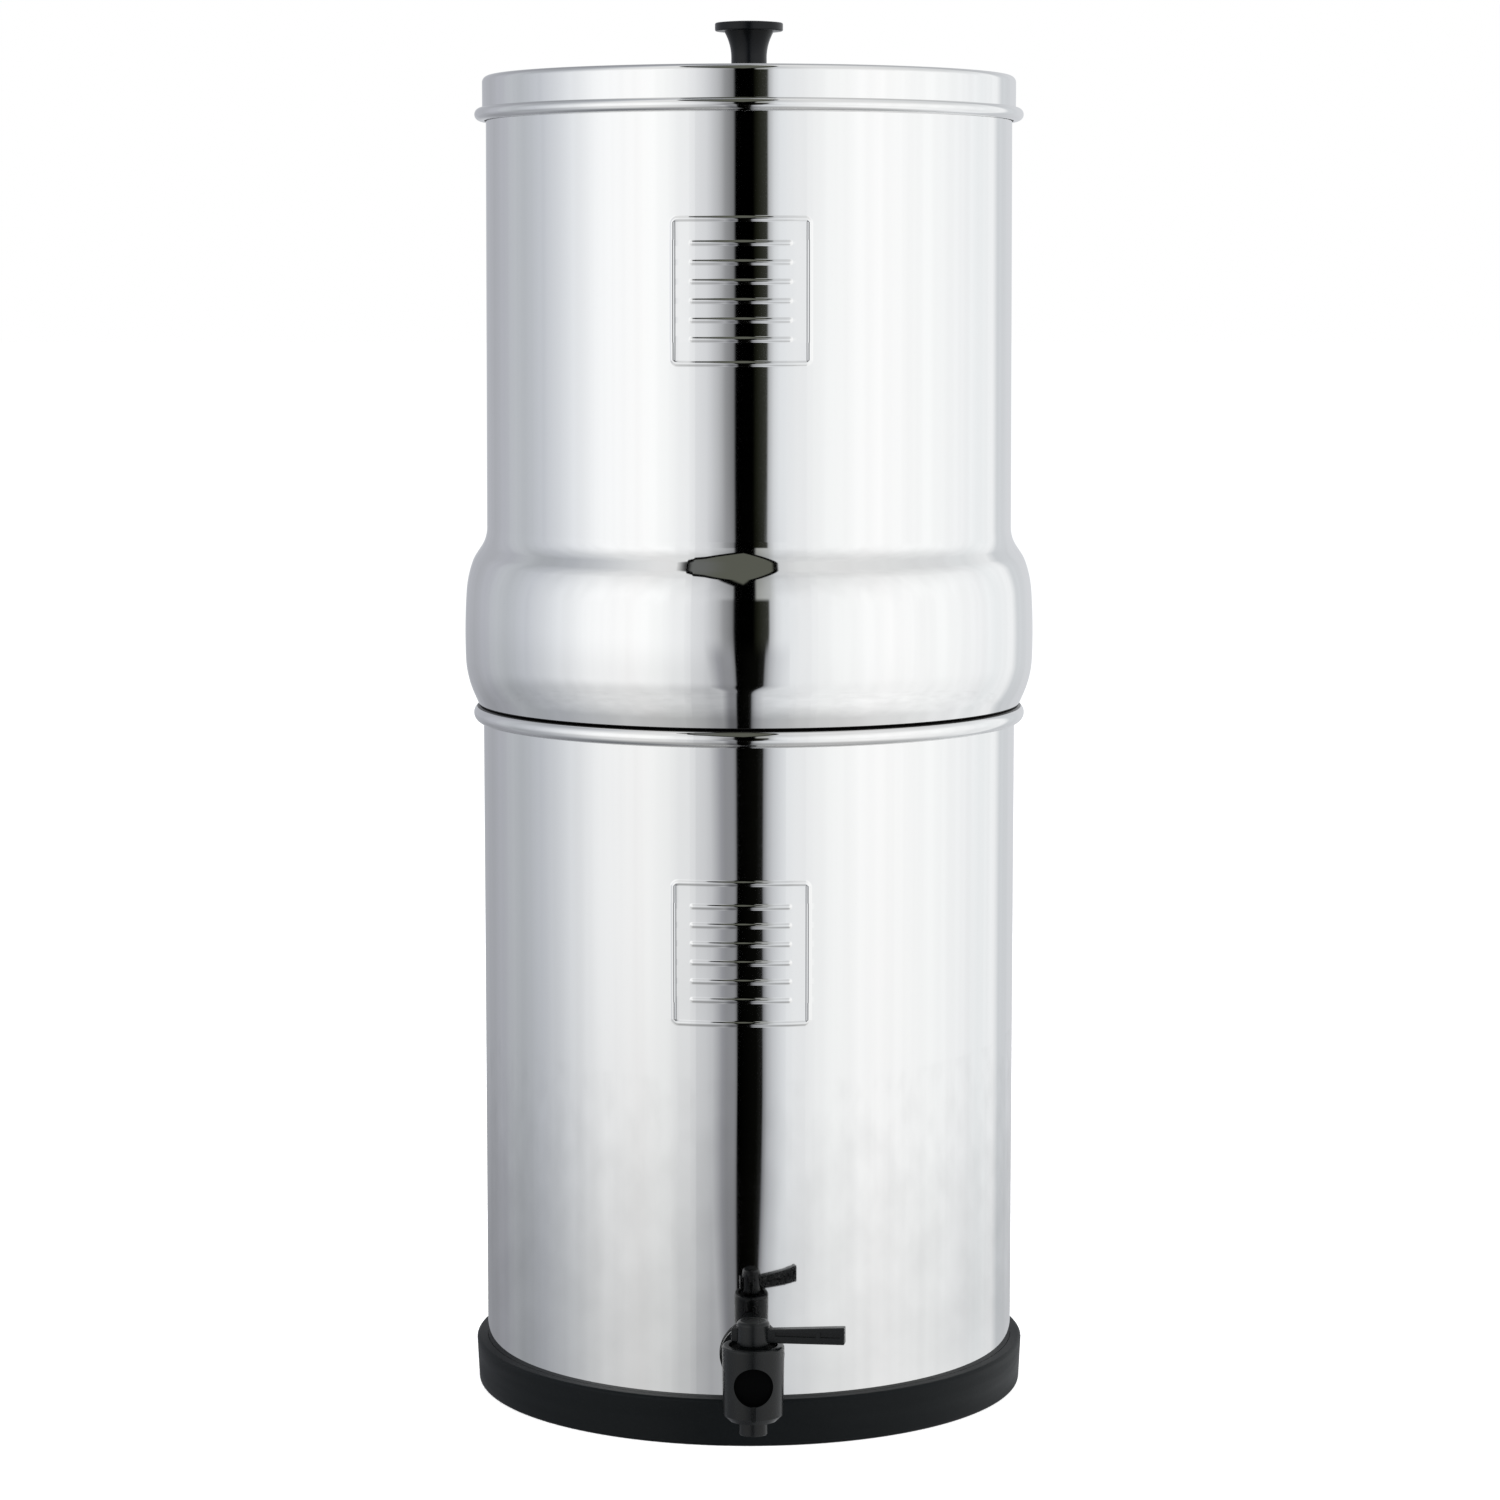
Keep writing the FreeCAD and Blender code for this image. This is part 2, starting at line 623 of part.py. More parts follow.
def tap_plug():
    """Plug with a port from its side to its foot, grooves for two seals, a stem and a cap with a slot."""
    groove = PLUG_RADIUS - SEAL_SECTION
    stops = [(0, PLUG_FOOT + RUNNING_GAP), (PLUG_RADIUS, PLUG_FOOT + RUNNING_GAP)]
    for height in SEAL_HEIGHTS:
        low = height - SEAL_SECTION / 2
        high = height + SEAL_SECTION / 2
        stops += [(PLUG_RADIUS, low), (groove, low), (groove, high), (PLUG_RADIUS, high)]
    stops += [
        (PLUG_RADIUS, PLUG_TOP),
        (STEM_WAIST_RADIUS, PLUG_TOP),
        (STEM_WAIST_RADIUS, CAP_FOOT),
        (CAP_RADIUS, CAP_FOOT),
        (CAP_RADIUS, CAP_TOP - CAP_EDGE),
        bend((CAP_RADIUS - CAP_EDGE, CAP_TOP - CAP_EDGE), CAP_EDGE, 0, 90),
        (0, CAP_TOP),
    ]
    plug = turned(*stops)
    port = Part.makeCylinder(PLUG_PORT, PLUG_RADIUS, vector(0, 0, BARREL_HEIGHT), vector(-1, 0, 0))
    channel = rod(PLUG_CHANNEL, PLUG_FOOT, BARREL_HEIGHT + PLUG_PORT + PORT_HEADROOM)
    half = LEVER_THICKNESS / 2
    slot = block(2 * (CAP_RADIUS + CUT_PAST), -half, half, LEVER_FOOT, LEVER_FOOT + LEVER_HEIGHT)
    slot.rotate(vector(0, 0, 0), UP, LEVER_ANGLE)
    return at_tap(plug.cut([channel, port, slot]))


def tap_plug_seals():
    """Two rubber rings in the plug's grooves."""
    section = SEAL_SECTION / 2 - SEAL_FIT
    rings = []
    for height in SEAL_HEIGHTS:
        centre = vector(0, 0, height)
        rings.append(at_tap(Part.makeTorus(PLUG_RADIUS - SEAL_SECTION / 2, section, centre, UP)))
    return Part.makeCompound(rings)


def tap_bonnet():
    """Ring pressed in the housing's top, which keeps the plug in."""
    bore = STEM_WAIST_RADIUS + RUNNING_GAP
    return at_tap(tube(BONNET_RADIUS, bore, PLUG_TOP + RUNNING_GAP, PLUG_TOP + BONNET))


def tap_lever():
    """Bar through the cap's slot, deeper towards its long end."""
    side = flat(
        (-LEVER_TAIL, LEVER_FOOT),
        (CAP_RADIUS, LEVER_FOOT),
        (LEVER_LENGTH, LEVER_END_FOOT),
        (LEVER_LENGTH, LEVER_END_FOOT + LEVER_END_HEIGHT),
        (CAP_RADIUS, LEVER_FOOT + LEVER_HEIGHT),
        (-LEVER_TAIL, LEVER_FOOT + LEVER_HEIGHT),
    )
    bar = side.extrude(vector(0, LEVER_THICKNESS, 0)).translated(vector(0, -LEVER_THICKNESS / 2, 0))
    ends = [edge for edge in bar.Edges if edge.BoundBox.XMin > 2 * CAP_RADIUS]
    bar = bar.makeFillet(LEVER_EDGE, ends)
    bar.rotate(vector(0, 0, 0), UP, LEVER_ANGLE)
    return at_tap(bar)


def tap_outer_washer():
    """Rubber washer between the tap's flange and the outside of the wall."""
    washer = barrel(TAP_WASHER_RADIUS, BARREL_FACE, LOWER_INSIDE)
    washer = washer.cut(barrel(BARREL_THREAD_RADIUS + WALL_HOLE_GAP, BARREL_FACE, LOWER_INSIDE))
    return washer.cut(rod(LOWER_RADIUS, 0, SEAT))


def tap_inner_washer():
    """Rubber washer between the lock nut and the inside of the wall."""
    washer = barrel(TAP_WASHER_RADIUS, LOWER_RADIUS, NUT_FACE)
    washer = washer.cut(barrel(BARREL_THREAD_RADIUS + WALL_HOLE_GAP, LOWER_RADIUS, NUT_FACE))
    return washer.common(rod(LOWER_INSIDE, 0, SEAT))


def tap_lock_nut():
    """Hexagon nut on the barrel, inside the lower vessel."""
    corner = TAP_NUT_FLATS / 2 / math.cos(math.pi / TAP_NUT_SIDES)
    points = []
    for index in range(TAP_NUT_SIDES + 1):
        angle = 2 * math.pi * index / TAP_NUT_SIDES
        points.append(vector(corner * math.cos(angle), -NUT_FACE, BARREL_HEIGHT + corner * math.sin(angle)))
    nut = Part.Face(Part.makePolygon(points)).extrude(vector(0, TAP_NUT, 0))
    return nut.cut(barrel(BARREL_THREAD_RADIUS + THREAD_GAP, LOWER_RADIUS, BARREL_END))


def pieces():
    """Each piece's name and shape."""
    parts = {
        "base_ring": base_ring(),
        "lower_chamber": lower_chamber(),
        "upper_chamber": upper_chamber(),
        "lid": lid(),
        "lid_knob": lid_knob(),
        "lid_knob_washer": lid_knob_washer(),
        "lid_knob_screw": lid_knob_screw(),
        "filter_washers": Part.makeCompound(at_candles(filter_washer)),
        "filter_wing_nuts": Part.makeCompound(at_candles(filter_wing_nut)),
        "tap_body": tap_body(),
        "tap_bonnet": tap_bonnet(),
        "tap_plug": tap_plug(),
        "tap_plug_seals": tap_plug_seals(),
        "tap_lever": tap_lever(),
        "tap_outer_washer": tap_outer_washer(),
        "tap_inner_washer": tap_inner_washer(),
        "tap_lock_nut": tap_lock_nut(),
    }
    for name, make_solid in (("shell", filter_shell), ("core", filter_core), ("mount", filter_mount)):
        for index, solid in enumerate(at_candles(make_solid), start=1):
            parts[f"filter_{name}_{index}"] = solid
    return parts


def main():
    """Writes every piece to its STEP file."""
    os.makedirs("parts", exist_ok=True)
    for name, shape in pieces().items():
        shape.exportStep(f"parts/{name}.step")
        print(name, "solids", len(shape.Solids), "valid", shape.isValid(), "volume", round(shape.Volume, 1))


main()
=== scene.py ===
"""Dresses a gravity water filter: polished steel vessels, a black tap and knob, and a rubber base ring.

Lengths are in metres in the frame's own axes: Z is up, the vessels share the Z axis and the tap stands on the
-Y side. An angle round the vessels is measured from the front, -Y, towards +X.
"""

import logging
import math
from dataclasses import dataclass, field
from enum import Enum

import bmesh
import bpy
from mathutils import Matrix, Vector


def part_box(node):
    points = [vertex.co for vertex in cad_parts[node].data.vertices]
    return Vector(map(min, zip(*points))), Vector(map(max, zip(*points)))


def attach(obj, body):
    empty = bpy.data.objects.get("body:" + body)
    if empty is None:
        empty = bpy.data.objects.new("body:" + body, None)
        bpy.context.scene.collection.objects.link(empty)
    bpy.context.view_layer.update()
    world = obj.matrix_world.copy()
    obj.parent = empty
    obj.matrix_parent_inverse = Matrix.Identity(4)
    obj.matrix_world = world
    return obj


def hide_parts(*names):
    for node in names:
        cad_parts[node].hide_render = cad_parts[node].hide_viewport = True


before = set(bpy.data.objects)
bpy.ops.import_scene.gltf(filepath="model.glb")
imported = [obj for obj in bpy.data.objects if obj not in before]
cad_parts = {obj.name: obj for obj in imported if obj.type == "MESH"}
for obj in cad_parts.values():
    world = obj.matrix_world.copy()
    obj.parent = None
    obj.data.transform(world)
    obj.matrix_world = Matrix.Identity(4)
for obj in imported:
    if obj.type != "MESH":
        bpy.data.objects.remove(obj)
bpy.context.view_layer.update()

LOG = logging.getLogger("filter")
TURN = 2 * math.pi
# How far a cutting tool reaches past a face, and a drill past a sheet.
PAST = 0.001
DRILL = 0.01
# A face counts as flat or as facing inwards past these shares of its normal. It is inside below the rim.
FLAT = 0.7
STEEP = 0.05
RIM = 0.003
Colour = tuple[float, float, float]
Place = tuple[float, float]
Socket = bpy.types.NodeSocket
Material = bpy.types.Material
Thing = bpy.types.Object
Mesh = bmesh.types.BMesh


class Body(str, Enum):
    """The moving groups that pieces ride on."""

    BASE = "vessel_base"
    VALVE = "tap_valve"
    UPPER = "upper_vessel"
    LID = "lid_cover"


@dataclass(frozen=True)
class Slide:
    """A smooth change from low to high while another value goes from start to stop."""

    start: float
    stop: float
    low: float = 0.0
    high: float = 1.0


class Nodes:
    """A small helper that adds nodes to a tree and joins them."""

    def __init__(self, tree: bpy.types.NodeTree) -> None:
        """Empties the tree.

        Args:
            tree: the node tree of a material or of the world.
        """
        self.tree = tree
        tree.nodes.clear()

    def add(self, kind: str, settings: dict | None = None, **inputs: object) -> bpy.types.Node:
        """Adds one node.

        Args:
            kind: Blender's name for the node type.
            settings: properties of the node itself.
            inputs: a value or an output socket for each input, with underscores for spaces.
        Returns:
            The new node.
        """
        node = self.tree.nodes.new(kind)
        for name, value in (settings or {}).items():
            setattr(node, name, value)
        for name, value in inputs.items():
            self.put(node.inputs[name.replace("_", " ")], value)
        return node

    def put(self, socket: Socket, value: object) -> None:
        """Sets a socket's value, or links an output to it."""
        if isinstance(value, Socket):
            self.tree.links.new(value, socket)
        else:
            socket.default_value = value

    def sum(self, kind: str, *values: object, clamp: bool = False) -> Socket:
        """The result of one Math node.

        Args:
            kind: the operation, such as MULTIPLY.
            values: numbers or output sockets, in order.
            clamp: whether the result stays between 0 and 1.
        Returns:
            The node's output.
        """
        node = self.add("ShaderNodeMath", {"operation": kind, "use_clamp": clamp})
        for socket, value in zip(node.inputs, values):
            self.put(socket, value)
        return node.outputs[0]

    def noise(self, scale: float, detail: float = 2.0, stretch: Colour = (1, 1, 1)) -> Socket:
        """A noise between 0 and 1 in the object's own coordinates.

        Args:
            scale: waves per metre.
            detail: octaves.
            stretch: a factor on the scale along X, Y and Z.
        Returns:
            The noise's value.
        """
        place = self.add("ShaderNodeTexCoord").outputs["Object"]
        mapping = self.add("ShaderNodeMapping", Vector=place, Scale=stretch)
        texture = self.add("ShaderNodeTexNoise", Vector=mapping.outputs[0], Scale=scale, Detail=detail)
        return texture.outputs["Fac"]

    def span(self, value: object, slide: "Slide") -> Socket:
        """A value that changes smoothly with another one, and holds at both ends.

        Args:
            value: the other value.
            slide: the change.
        Returns:
            The changed value.
        """
        ends = {"From_Min": slide.start, "From_Max": slide.stop, "To_Min": slide.low, "To_Max": slide.high}
        node = self.add("ShaderNodeMapRange", {"interpolation_type": "SMOOTHSTEP"}, **ends)
        self.put(node.inputs["Value"], value)
        return node.outputs[0]

    def between(self, value: Socket, low: float, high: float) -> Socket:
        """Maps a noise, which mostly lies between 0.3 and 0.7, to a range."""
        ends = {"From_Min": 0.3, "From_Max": 0.7, "To_Min": low, "To_Max": high}
        return self.add("ShaderNodeMapRange", Value=value, **ends).outputs[0]

    def bump(self, height: object, depth: float, strength: float = 1.0) -> Socket:
        """A normal that follows a height.

        Args:
            height: the height, between 0 and 1.
            depth: how deep the whole range is, in metres.
            strength: how much of it shows.
        Returns:
            The normal.
        """
        return self.add("ShaderNodeBump", Height=height, Distance=depth, Strength=strength).outputs[0]

    def end(self, kind: str, shader: Socket) -> None:
        """Adds the output that a tree ends with.

        Args:
            kind: Material or World.
            shader: what it shows.
        """
        self.put(self.add("ShaderNodeOutput" + kind).inputs["Surface"], shader)

    def blend(self, kind: str, share: object, first: object, second: object) -> Socket:
        """Mixes two colours.

        Args:
            kind: how they are mixed, such as MIX.
            share: how much of the second is taken.
            first: the first colour.
            second: the second colour.
        Returns:
            The mixed colour.
        """
        mixed = self.add("ShaderNodeMix", {"data_type": "RGBA", "blend_type": kind})
        for index, value in ((0, share), (6, first), (7, second)):
            self.put(mixed.inputs[index], value)
        return mixed.outputs[2]

    def both(self, first: Socket, second: Socket) -> Socket:
        """The sum of two shaders."""
        added = self.add("ShaderNodeAddShader")
        self.put(added.inputs[0], first)
        self.put(added.inputs[1], second)
        return added.outputs[0]

    def mix(self, value: Socket, first: Colour, second: Colour) -> Socket:
        """A colour between two colours."""
        return self.blend("MIX", value, (*first, 1), (*second, 1))


@dataclass(frozen=True)
class Finish:
    """What every finish has: a name, two tones of its colour and a range of roughness."""

    name: str
    tone: Colour
    other_tone: Colour
    smooth: float
    rough: float
    shine: float = 0.5

    def material(self) -> Material:
        """The finish as a material, made once."""
        name = "finish_" + self.name
        found = bpy.data.materials.get(name)
        if found:
            return found
        made = bpy.data.materials.new(name)
        made.use_nodes = True
        nodes = Nodes(made.node_tree)
        shader = nodes.add("ShaderNodeBsdfPrincipled")
        nodes.end("Material", shader.outputs[0])
        shader.inputs["Specular IOR Level"].default_value = self.shine
        self.dress(nodes, shader)
        return made

    def dress(self, nodes: Nodes, shader: bpy.types.Node) -> None:
        """Fills in the shader's sockets; each finish has its own way.

        Args:
            nodes: the material's nodes.
            shader: its Principled shader.
        """
        raise NotImplementedError


@dataclass(frozen=True)
class PolishedSteel(Finish):
    """Mirror-polished sheet, with faint polishing lines round it, handling smudges and a slight waviness."""

    line_scale: float = 26.0
    wave_scale: float = 11.0
    wave: float = 0.00009

    def dress(self, nodes: Nodes, shader: bpy.types.Node) -> None:
        """Sets the metal's colour, its uneven polish and its waviness."""
        shader.inputs["Metallic"].default_value = 1.0
        nodes.put(shader.inputs["Base Color"], nodes.mix(nodes.noise(5.0), self.tone, self.other_tone))
        smudge = nodes.between(nodes.noise(18.0, 4.0), self.smooth, self.rough)
        lines = nodes.between(nodes.noise(self.line_scale, 5.0, (1, 1, 40)), 0.0, 0.012)
        nodes.put(shader.inputs["Roughness"], nodes.sum("ADD", smudge, lines))
        nodes.put(shader.inputs["Normal"], nodes.bump(nodes.noise(self.wave_scale, 1.0), self.wave))


@dataclass(frozen=True)
class MouldedPlastic(Finish):
    """Injection-moulded plastic with a fine spark-eroded grain and faint flow marks."""

    grain_scale: float = 2600.0
    grain: float = 0.00002
    flow_scale: float = 60.0

    def dress(self, nodes: Nodes, shader: bpy.types.Node) -> None:
        """Sets the plastic's tones, its uneven gloss and its grain."""
        shader.inputs["IOR"].default_value = 1.5
        flow = nodes.noise(self.flow_scale, 3.0)
        nodes.put(shader.inputs["Base Color"], nodes.mix(flow, self.tone, self.other_tone))
        nodes.put(shader.inputs["Roughness"], nodes.between(nodes.noise(140.0, 4.0), self.smooth, self.rough))
        nodes.put(shader.inputs["Normal"], nodes.bump(nodes.noise(self.grain_scale, 2.0), self.grain))


@dataclass(frozen=True)
class Rubber(Finish):
    """Moulded rubber with a fine matt grain, faint wiping marks round it and a little dust."""

    grain_scale: float = 1500.0
    grain: float = 0.00004

    def dress(self, nodes: Nodes, shader: bpy.types.Node) -> None:
        """Sets the rubber's tones, dust and grain."""
        shader.inputs["IOR"].default_value = 1.48
        dust = nodes.sum("MULTIPLY", nodes.noise(700.0, 4.0), nodes.noise(30.0, 2.0))
        nodes.put(shader.inputs["Base Color"], nodes.mix(dust, self.tone, self.other_tone))
        wiped = nodes.noise(12.0, 4.0, (1, 1, 14))
        nodes.put(shader.inputs["Roughness"], nodes.between(wiped, self.smooth, self.rough))
        nodes.put(shader.inputs["Normal"], nodes.bump(nodes.noise(self.grain_scale, 3.0), self.grain))


@dataclass(frozen=True)
class Ceramic(Finish):
    """Unglazed fired ceramic with fine pores."""

    pore_scale: float = 900.0
    pore: float = 0.00012

    def dress(self, nodes: Nodes, shader: bpy.types.Node) -> None:
        """Sets the ceramic's tones and pores."""
        nodes.put(shader.inputs["Base Color"], nodes.mix(nodes.noise(45.0, 5.0), self.tone, self.other_tone))
        nodes.put(shader.inputs["Roughness"], nodes.between(nodes.noise(90.0, 3.0), self.smooth, self.rough))
        place = nodes.add("ShaderNodeTexCoord").outputs["Object"]
        pores = nodes.add("ShaderNodeTexVoronoi", Vector=place, Scale=self.pore_scale)
        nodes.put(shader.inputs["Normal"], nodes.bump(pores.outputs["Distance"], self.pore, 0.5))


@dataclass(frozen=True)
class TurnedSteel(Finish):
    """Small turned or stamped steel parts with fine tool lines."""

    line_scale: float = 400.0
    line: float = 0.00002

    def dress(self, nodes: Nodes, shader: bpy.types.Node) -> None:
        """Sets the metal's tones and tool lines."""
        shader.inputs["Metallic"].default_value = 1.0
        nodes.put(shader.inputs["Base Color"], nodes.mix(nodes.noise(80.0), self.tone, self.other_tone))
        lines = nodes.noise(self.line_scale, 3.0, (1, 1, 12))
        nodes.put(shader.inputs["Roughness"], nodes.between(lines, self.smooth, self.rough))
        nodes.put(shader.inputs["Normal"], nodes.bump(lines, self.line))


STEEL = PolishedSteel("polished_steel", (0.715, 0.715, 0.712), (0.700, 0.703, 0.705), 0.022, 0.045)
# Dark, dull steel for the crease where the upper vessel sits in the lower one's rim: painted shade.
CREVICE_PAINTED_SHADE = PolishedSteel("crevice_painted_shade", (0.055, 0.053, 0.052), (0.04, 0.039, 0.038), 0.25, 0.40)
# Rougher steel for the insides; its tone is lighter than the outside's, painted light that keeps the inside
# from rendering near black.
SATIN_STEEL_PAINTED_LIGHT = PolishedSteel("satin_steel_painted_light", (0.84, 0.84, 0.835), (0.80, 0.802, 0.802), 0.34, 0.46)
TAP_PLASTIC = MouldedPlastic(
    "tap_plastic", (0.0016, 0.0021, 0.0024), (0.0034, 0.0042, 0.0047), 0.22, 0.32, shine=0.28
)
# Near-black dull plastic: painted shade for the tap's dimple and for the bonnet in the recess under the cap.
TAP_SHADE = MouldedPlastic(
    "tap_shade", (0.0003, 0.0004, 0.0005), (0.0006, 0.0007, 0.0008), 0.60, 0.75, shine=0.03
)
KNOB_PLASTIC = MouldedPlastic(
    "knob_plastic", (0.002, 0.0026, 0.0036), (0.004, 0.0050, 0.0068), 0.18, 0.28, shine=0.2
)
RING_RUBBER = Rubber(
    "ring_rubber", (0.0012, 0.0022, 0.0028), (0.0040, 0.0058, 0.0068), 0.40, 0.54, shine=0.13
)
SEAL_RUBBER = Rubber("seal_rubber", (0.006, 0.006, 0.0065), (0.014, 0.014, 0.0145), 0.55, 0.70, shine=0.25)
NUT_PLASTIC = MouldedPlastic("nut_plastic", (0.80, 0.80, 0.78), (0.76, 0.76, 0.74), 0.35, 0.48)
CUP_PLASTIC = MouldedPlastic("cup_plastic", (0.84, 0.84, 0.82), (0.79, 0.79, 0.77), 0.32, 0.44)
CANDLE_CERAMIC = Ceramic("candle_ceramic", (0.86, 0.84, 0.79), (0.78, 0.76, 0.71), 0.75, 0.90)
CANDLE_CARBON = Ceramic(
    "candle_carbon", (0.020, 0.020, 0.021), (0.045, 0.045, 0.046), 0.80, 0.95, 0.3, 700.0, 0.0004
)
FASTENER_STEEL = TurnedSteel("fastener_steel", (0.62, 0.62, 0.61), (0.54, 0.54, 0.54), 0.22, 0.38)


class Outline:
    """A half section drawn stop by stop, as (radius, height) places."""

    def __init__(self, radius: float, height: float) -> None:
        """Starts the outline at a place."""
        self.places: list[Place] = [(radius, height)]

    def to(self, radius: float, height: float) -> "Outline":
        """Goes straight to a place."""
        self.places.append((radius, height))
        return self

    def arc(self, centre: Place, radius: float, start: float, stop: float, steps: int = 8) -> "Outline":
        """Follows an arc.

        Args:
            centre: the arc's centre.
            radius: its radius.
            start: its first angle in degrees, from the outward direction upwards.
            stop: its last angle.
            steps: how many pieces it is made of.
        Returns:
            The outline itself.
        """
        for step in range(steps + 1):
            angle = math.radians(start + (stop - start) * step / steps)
            place = (centre[0] + radius * math.cos(angle), centre[1] + radius * math.sin(angle))
            if math.dist(place, self.places[-1]) > 1e-6:
                self.places.append(place)
        return self

    def onward(self, radius: float, start: float, stop: float, steps: int = 8) -> "Outline":
        """Follows an arc that starts at the outline's last place.

        Args:
            radius: the arc's radius.
            start: its first angle in degrees, from the outward direction upwards.
            stop: its last angle.
            steps: how many pieces it is made of.
        Returns:
            The outline itself.
        """
        angle = math.radians(start)
        here = self.places[-1]
        centre = (here[0] - radius * math.cos(angle), here[1] - radius * math.sin(angle))
        return self.arc(centre, radius, start, stop, steps)


@dataclass
class Relief:
    """A raised frame with straight ribs, pressed outwards in a vessel's front."""

    middle: float
    width: float = 0.053
    height: float = 0.0554
    line: float = 0.0013
    proud: float = 0.00045
    ribs: int = 6
    rib_length: float = 0.038
    rib_pitch: float = 0.0072
    corner: float = 0.0022
    turn: float = math.radians(-2.3)
    shares: tuple[float, ...] = (-1.0, -0.8, -0.6, -0.4, -0.2, 0.0, 0.2, 0.4, 0.6, 0.8, 1.0)

    def rib_heights(self) -> list[float]:
        """Each rib's height."""
        return [self.middle + (index - (self.ribs - 1) / 2) * self.rib_pitch for index in range(self.ribs)]

    def rows(self) -> list[float]:
        """The heights at which the wall needs a ring of points."""
        edge = self.height / 2 - self.line / 2
        lines = [self.middle - edge, self.middle + edge, *self.rib_heights()]
        return sorted(height + share * self.line for height in lines for share in self.shares)

    def columns(self, radius: float) -> list[float]:
        """The angles at which the wall needs a column of points.

        Args:
            radius: the wall's radius.
        Returns:
            Angles round the vessel.
        """
        edge = self.width / 2 - self.line / 2
        rib = self.rib_length / 2 - self.line / 2
        sides = [side * place for place in (edge, rib) for side in (-1, 1)]
        places = [x + share * self.line for x in sides for share in self.shares]
        return [self.turn + math.asin(place / radius) for place in places]

    def rise(self, angle: float, height: float, radius: float) -> float:
        """How far the wall stands out at a place.

        Args:
            angle: the place's angle round the vessel.
            height: its height.
            radius: the wall's radius.
        Returns:
            A distance outwards.
        """
        if abs(angle - self.turn) > 1.0:
            return 0.0
        x = abs(radius * math.sin(angle - self.turn))
        z = abs(height - self.middle)
        half = (self.width / 2 - self.line / 2 - self.corner, self.height / 2 - self.line / 2 - self.corner)
        over = (x - half[0], z - half[1])
        away = math.hypot(max(over[0], 0), max(over[1], 0)) + min(max(over), 0) - self.corner
        nearest = abs(away)
        for rib in self.rib_heights():
            past = max(x - (self.rib_length / 2 - self.line / 2), 0)
            nearest = min(nearest, math.hypot(past, height - rib))
        if nearest >= self.line:
            return 0.0
        return self.proud * 0.5 * (1 + math.cos(math.pi * nearest / self.line))


@dataclass
class Turned:
    """A mesh turned about a vertical axis from a half section.

    Shift moves its columns by a share of one. A relief stands out from the places within a skin of the wall.
    """

    outline: Outline
    loop: bool = False
    columns: int = 192
    shift: float = 0.0
    centre: Place = (0.0, 0.0)
    relief: Relief | None = None
    wall: float = 0.0
    skin: float = 0.0004

    def angles(self) -> list[float]:
        """The columns' angles, closer together where the relief needs it."""
        angles = [TURN * (index + self.shift) / self.columns - math.pi for index in range(self.columns)]
        if self.relief:
            extra = self.relief.columns(self.wall)
            gap = TURN / self.columns * 0.3
            angles = [angle for angle in angles if min(abs(angle - other) for other in extra) > gap]
            angles += extra
        return sorted(angles)

    def mesh(self) -> Mesh:
        """The turned mesh, with its faces outwards."""
        made = bmesh.new()
        angles = self.angles()
        rings = []
        for radius, height in self.outline.places:
            if radius < 1e-6:
                rings.append([made.verts.new((*self.centre, height))])
                continue
            ring = []
            for angle in angles:
                reach = radius
                if self.relief and radius > self.wall - self.skin:
                    reach += self.relief.rise(angle, height, self.wall)
                x = self.centre[0] + reach * math.sin(angle)
                y = self.centre[1] - reach * math.cos(angle)
                ring.append(made.verts.new((x, y, height)))
            rings.append(ring)
        pairs = list(zip(rings, rings[1:]))
        if self.loop:
            pairs.append((rings[-1], rings[0]))
        for low, high in pairs:
            self.band(made, low, high)
        bmesh.ops.recalc_face_normals(made, faces=made.faces)
        return made

    @staticmethod
    def band(made: Mesh, low: list, high: list) -> None:
        """Faces between two rings, either of which may be a single point.

        Args:
            made: the mesh.
            low: the first ring.
            high: the second ring.
        """
        count = max(len(low), len(high))
        for index in range(count):
            after = (index + 1) % count
            corners = [low[index % len(low)], low[after % len(low)]]
            corners += [high[after % len(high)], high[index % len(high)]]
            corners = list(dict.fromkeys(corners))
            if len(corners) > 2:
                made.faces.new(corners)


def solid(name: str, made: Mesh, finish: Finish) -> Thing:
    """Turns a mesh into an object with one finish.

    Args:
        name: the object's name.
        made: its mesh, which is freed.
        finish: its finish.
    Returns:
        The new object.
    """
    mesh = bpy.data.meshes.new(name)
    made.to_mesh(mesh)
    made.free()
    mesh.materials.append(finish.material())
    made_object = bpy.data.objects.new(name, mesh)
    bpy.context.scene.collection.objects.link(made_object)
    return made_object


def shade(target: Thing, finish: Finish, heights: Place, radii: Place) -> None:
    """Gives a ring of a turned piece another finish, which paints shade into a crease.

    Args:
        target: the piece.
        finish: the ring's finish, a painted shade.
        heights: the ring's lowest and highest height.
        radii: its smallest and largest radius.
    """
    target.data.materials.append(finish.material())
    index = len(target.data.materials) - 1
    for face in target.data.polygons:
        place = face.center
        across = math.hypot(place.x, place.y)
        if heights[0] < place.z < heights[1] and radii[0] < across < radii[1]:
            face.material_index = index


def line(target: Thing, finish: Finish, rim: float, up: int = 1) -> None:
    """Gives the inside of a turned sheet its own finish: rougher steel whose lighter tone is painted light
    that lifts the inside.

    Args:
        target: the sheet.
        finish: the inside's finish.
        rim: the height of its open edge.
        up: 1 where it opens upwards and -1 where it opens downwards.
    """
    target.data.materials.append(finish.material())
    index = len(target.data.materials) - 1
    for face in target.data.polygons:
        place = face.center
        outward = Vector((place.x, place.y, 0)).normalized().dot(face.normal)
        flat = face.normal.z * up > FLAT and (rim - place.z) * up > RIM
        if outward < -STEEP or (flat and outward < 1 - FLAT):
            face.material_index = index


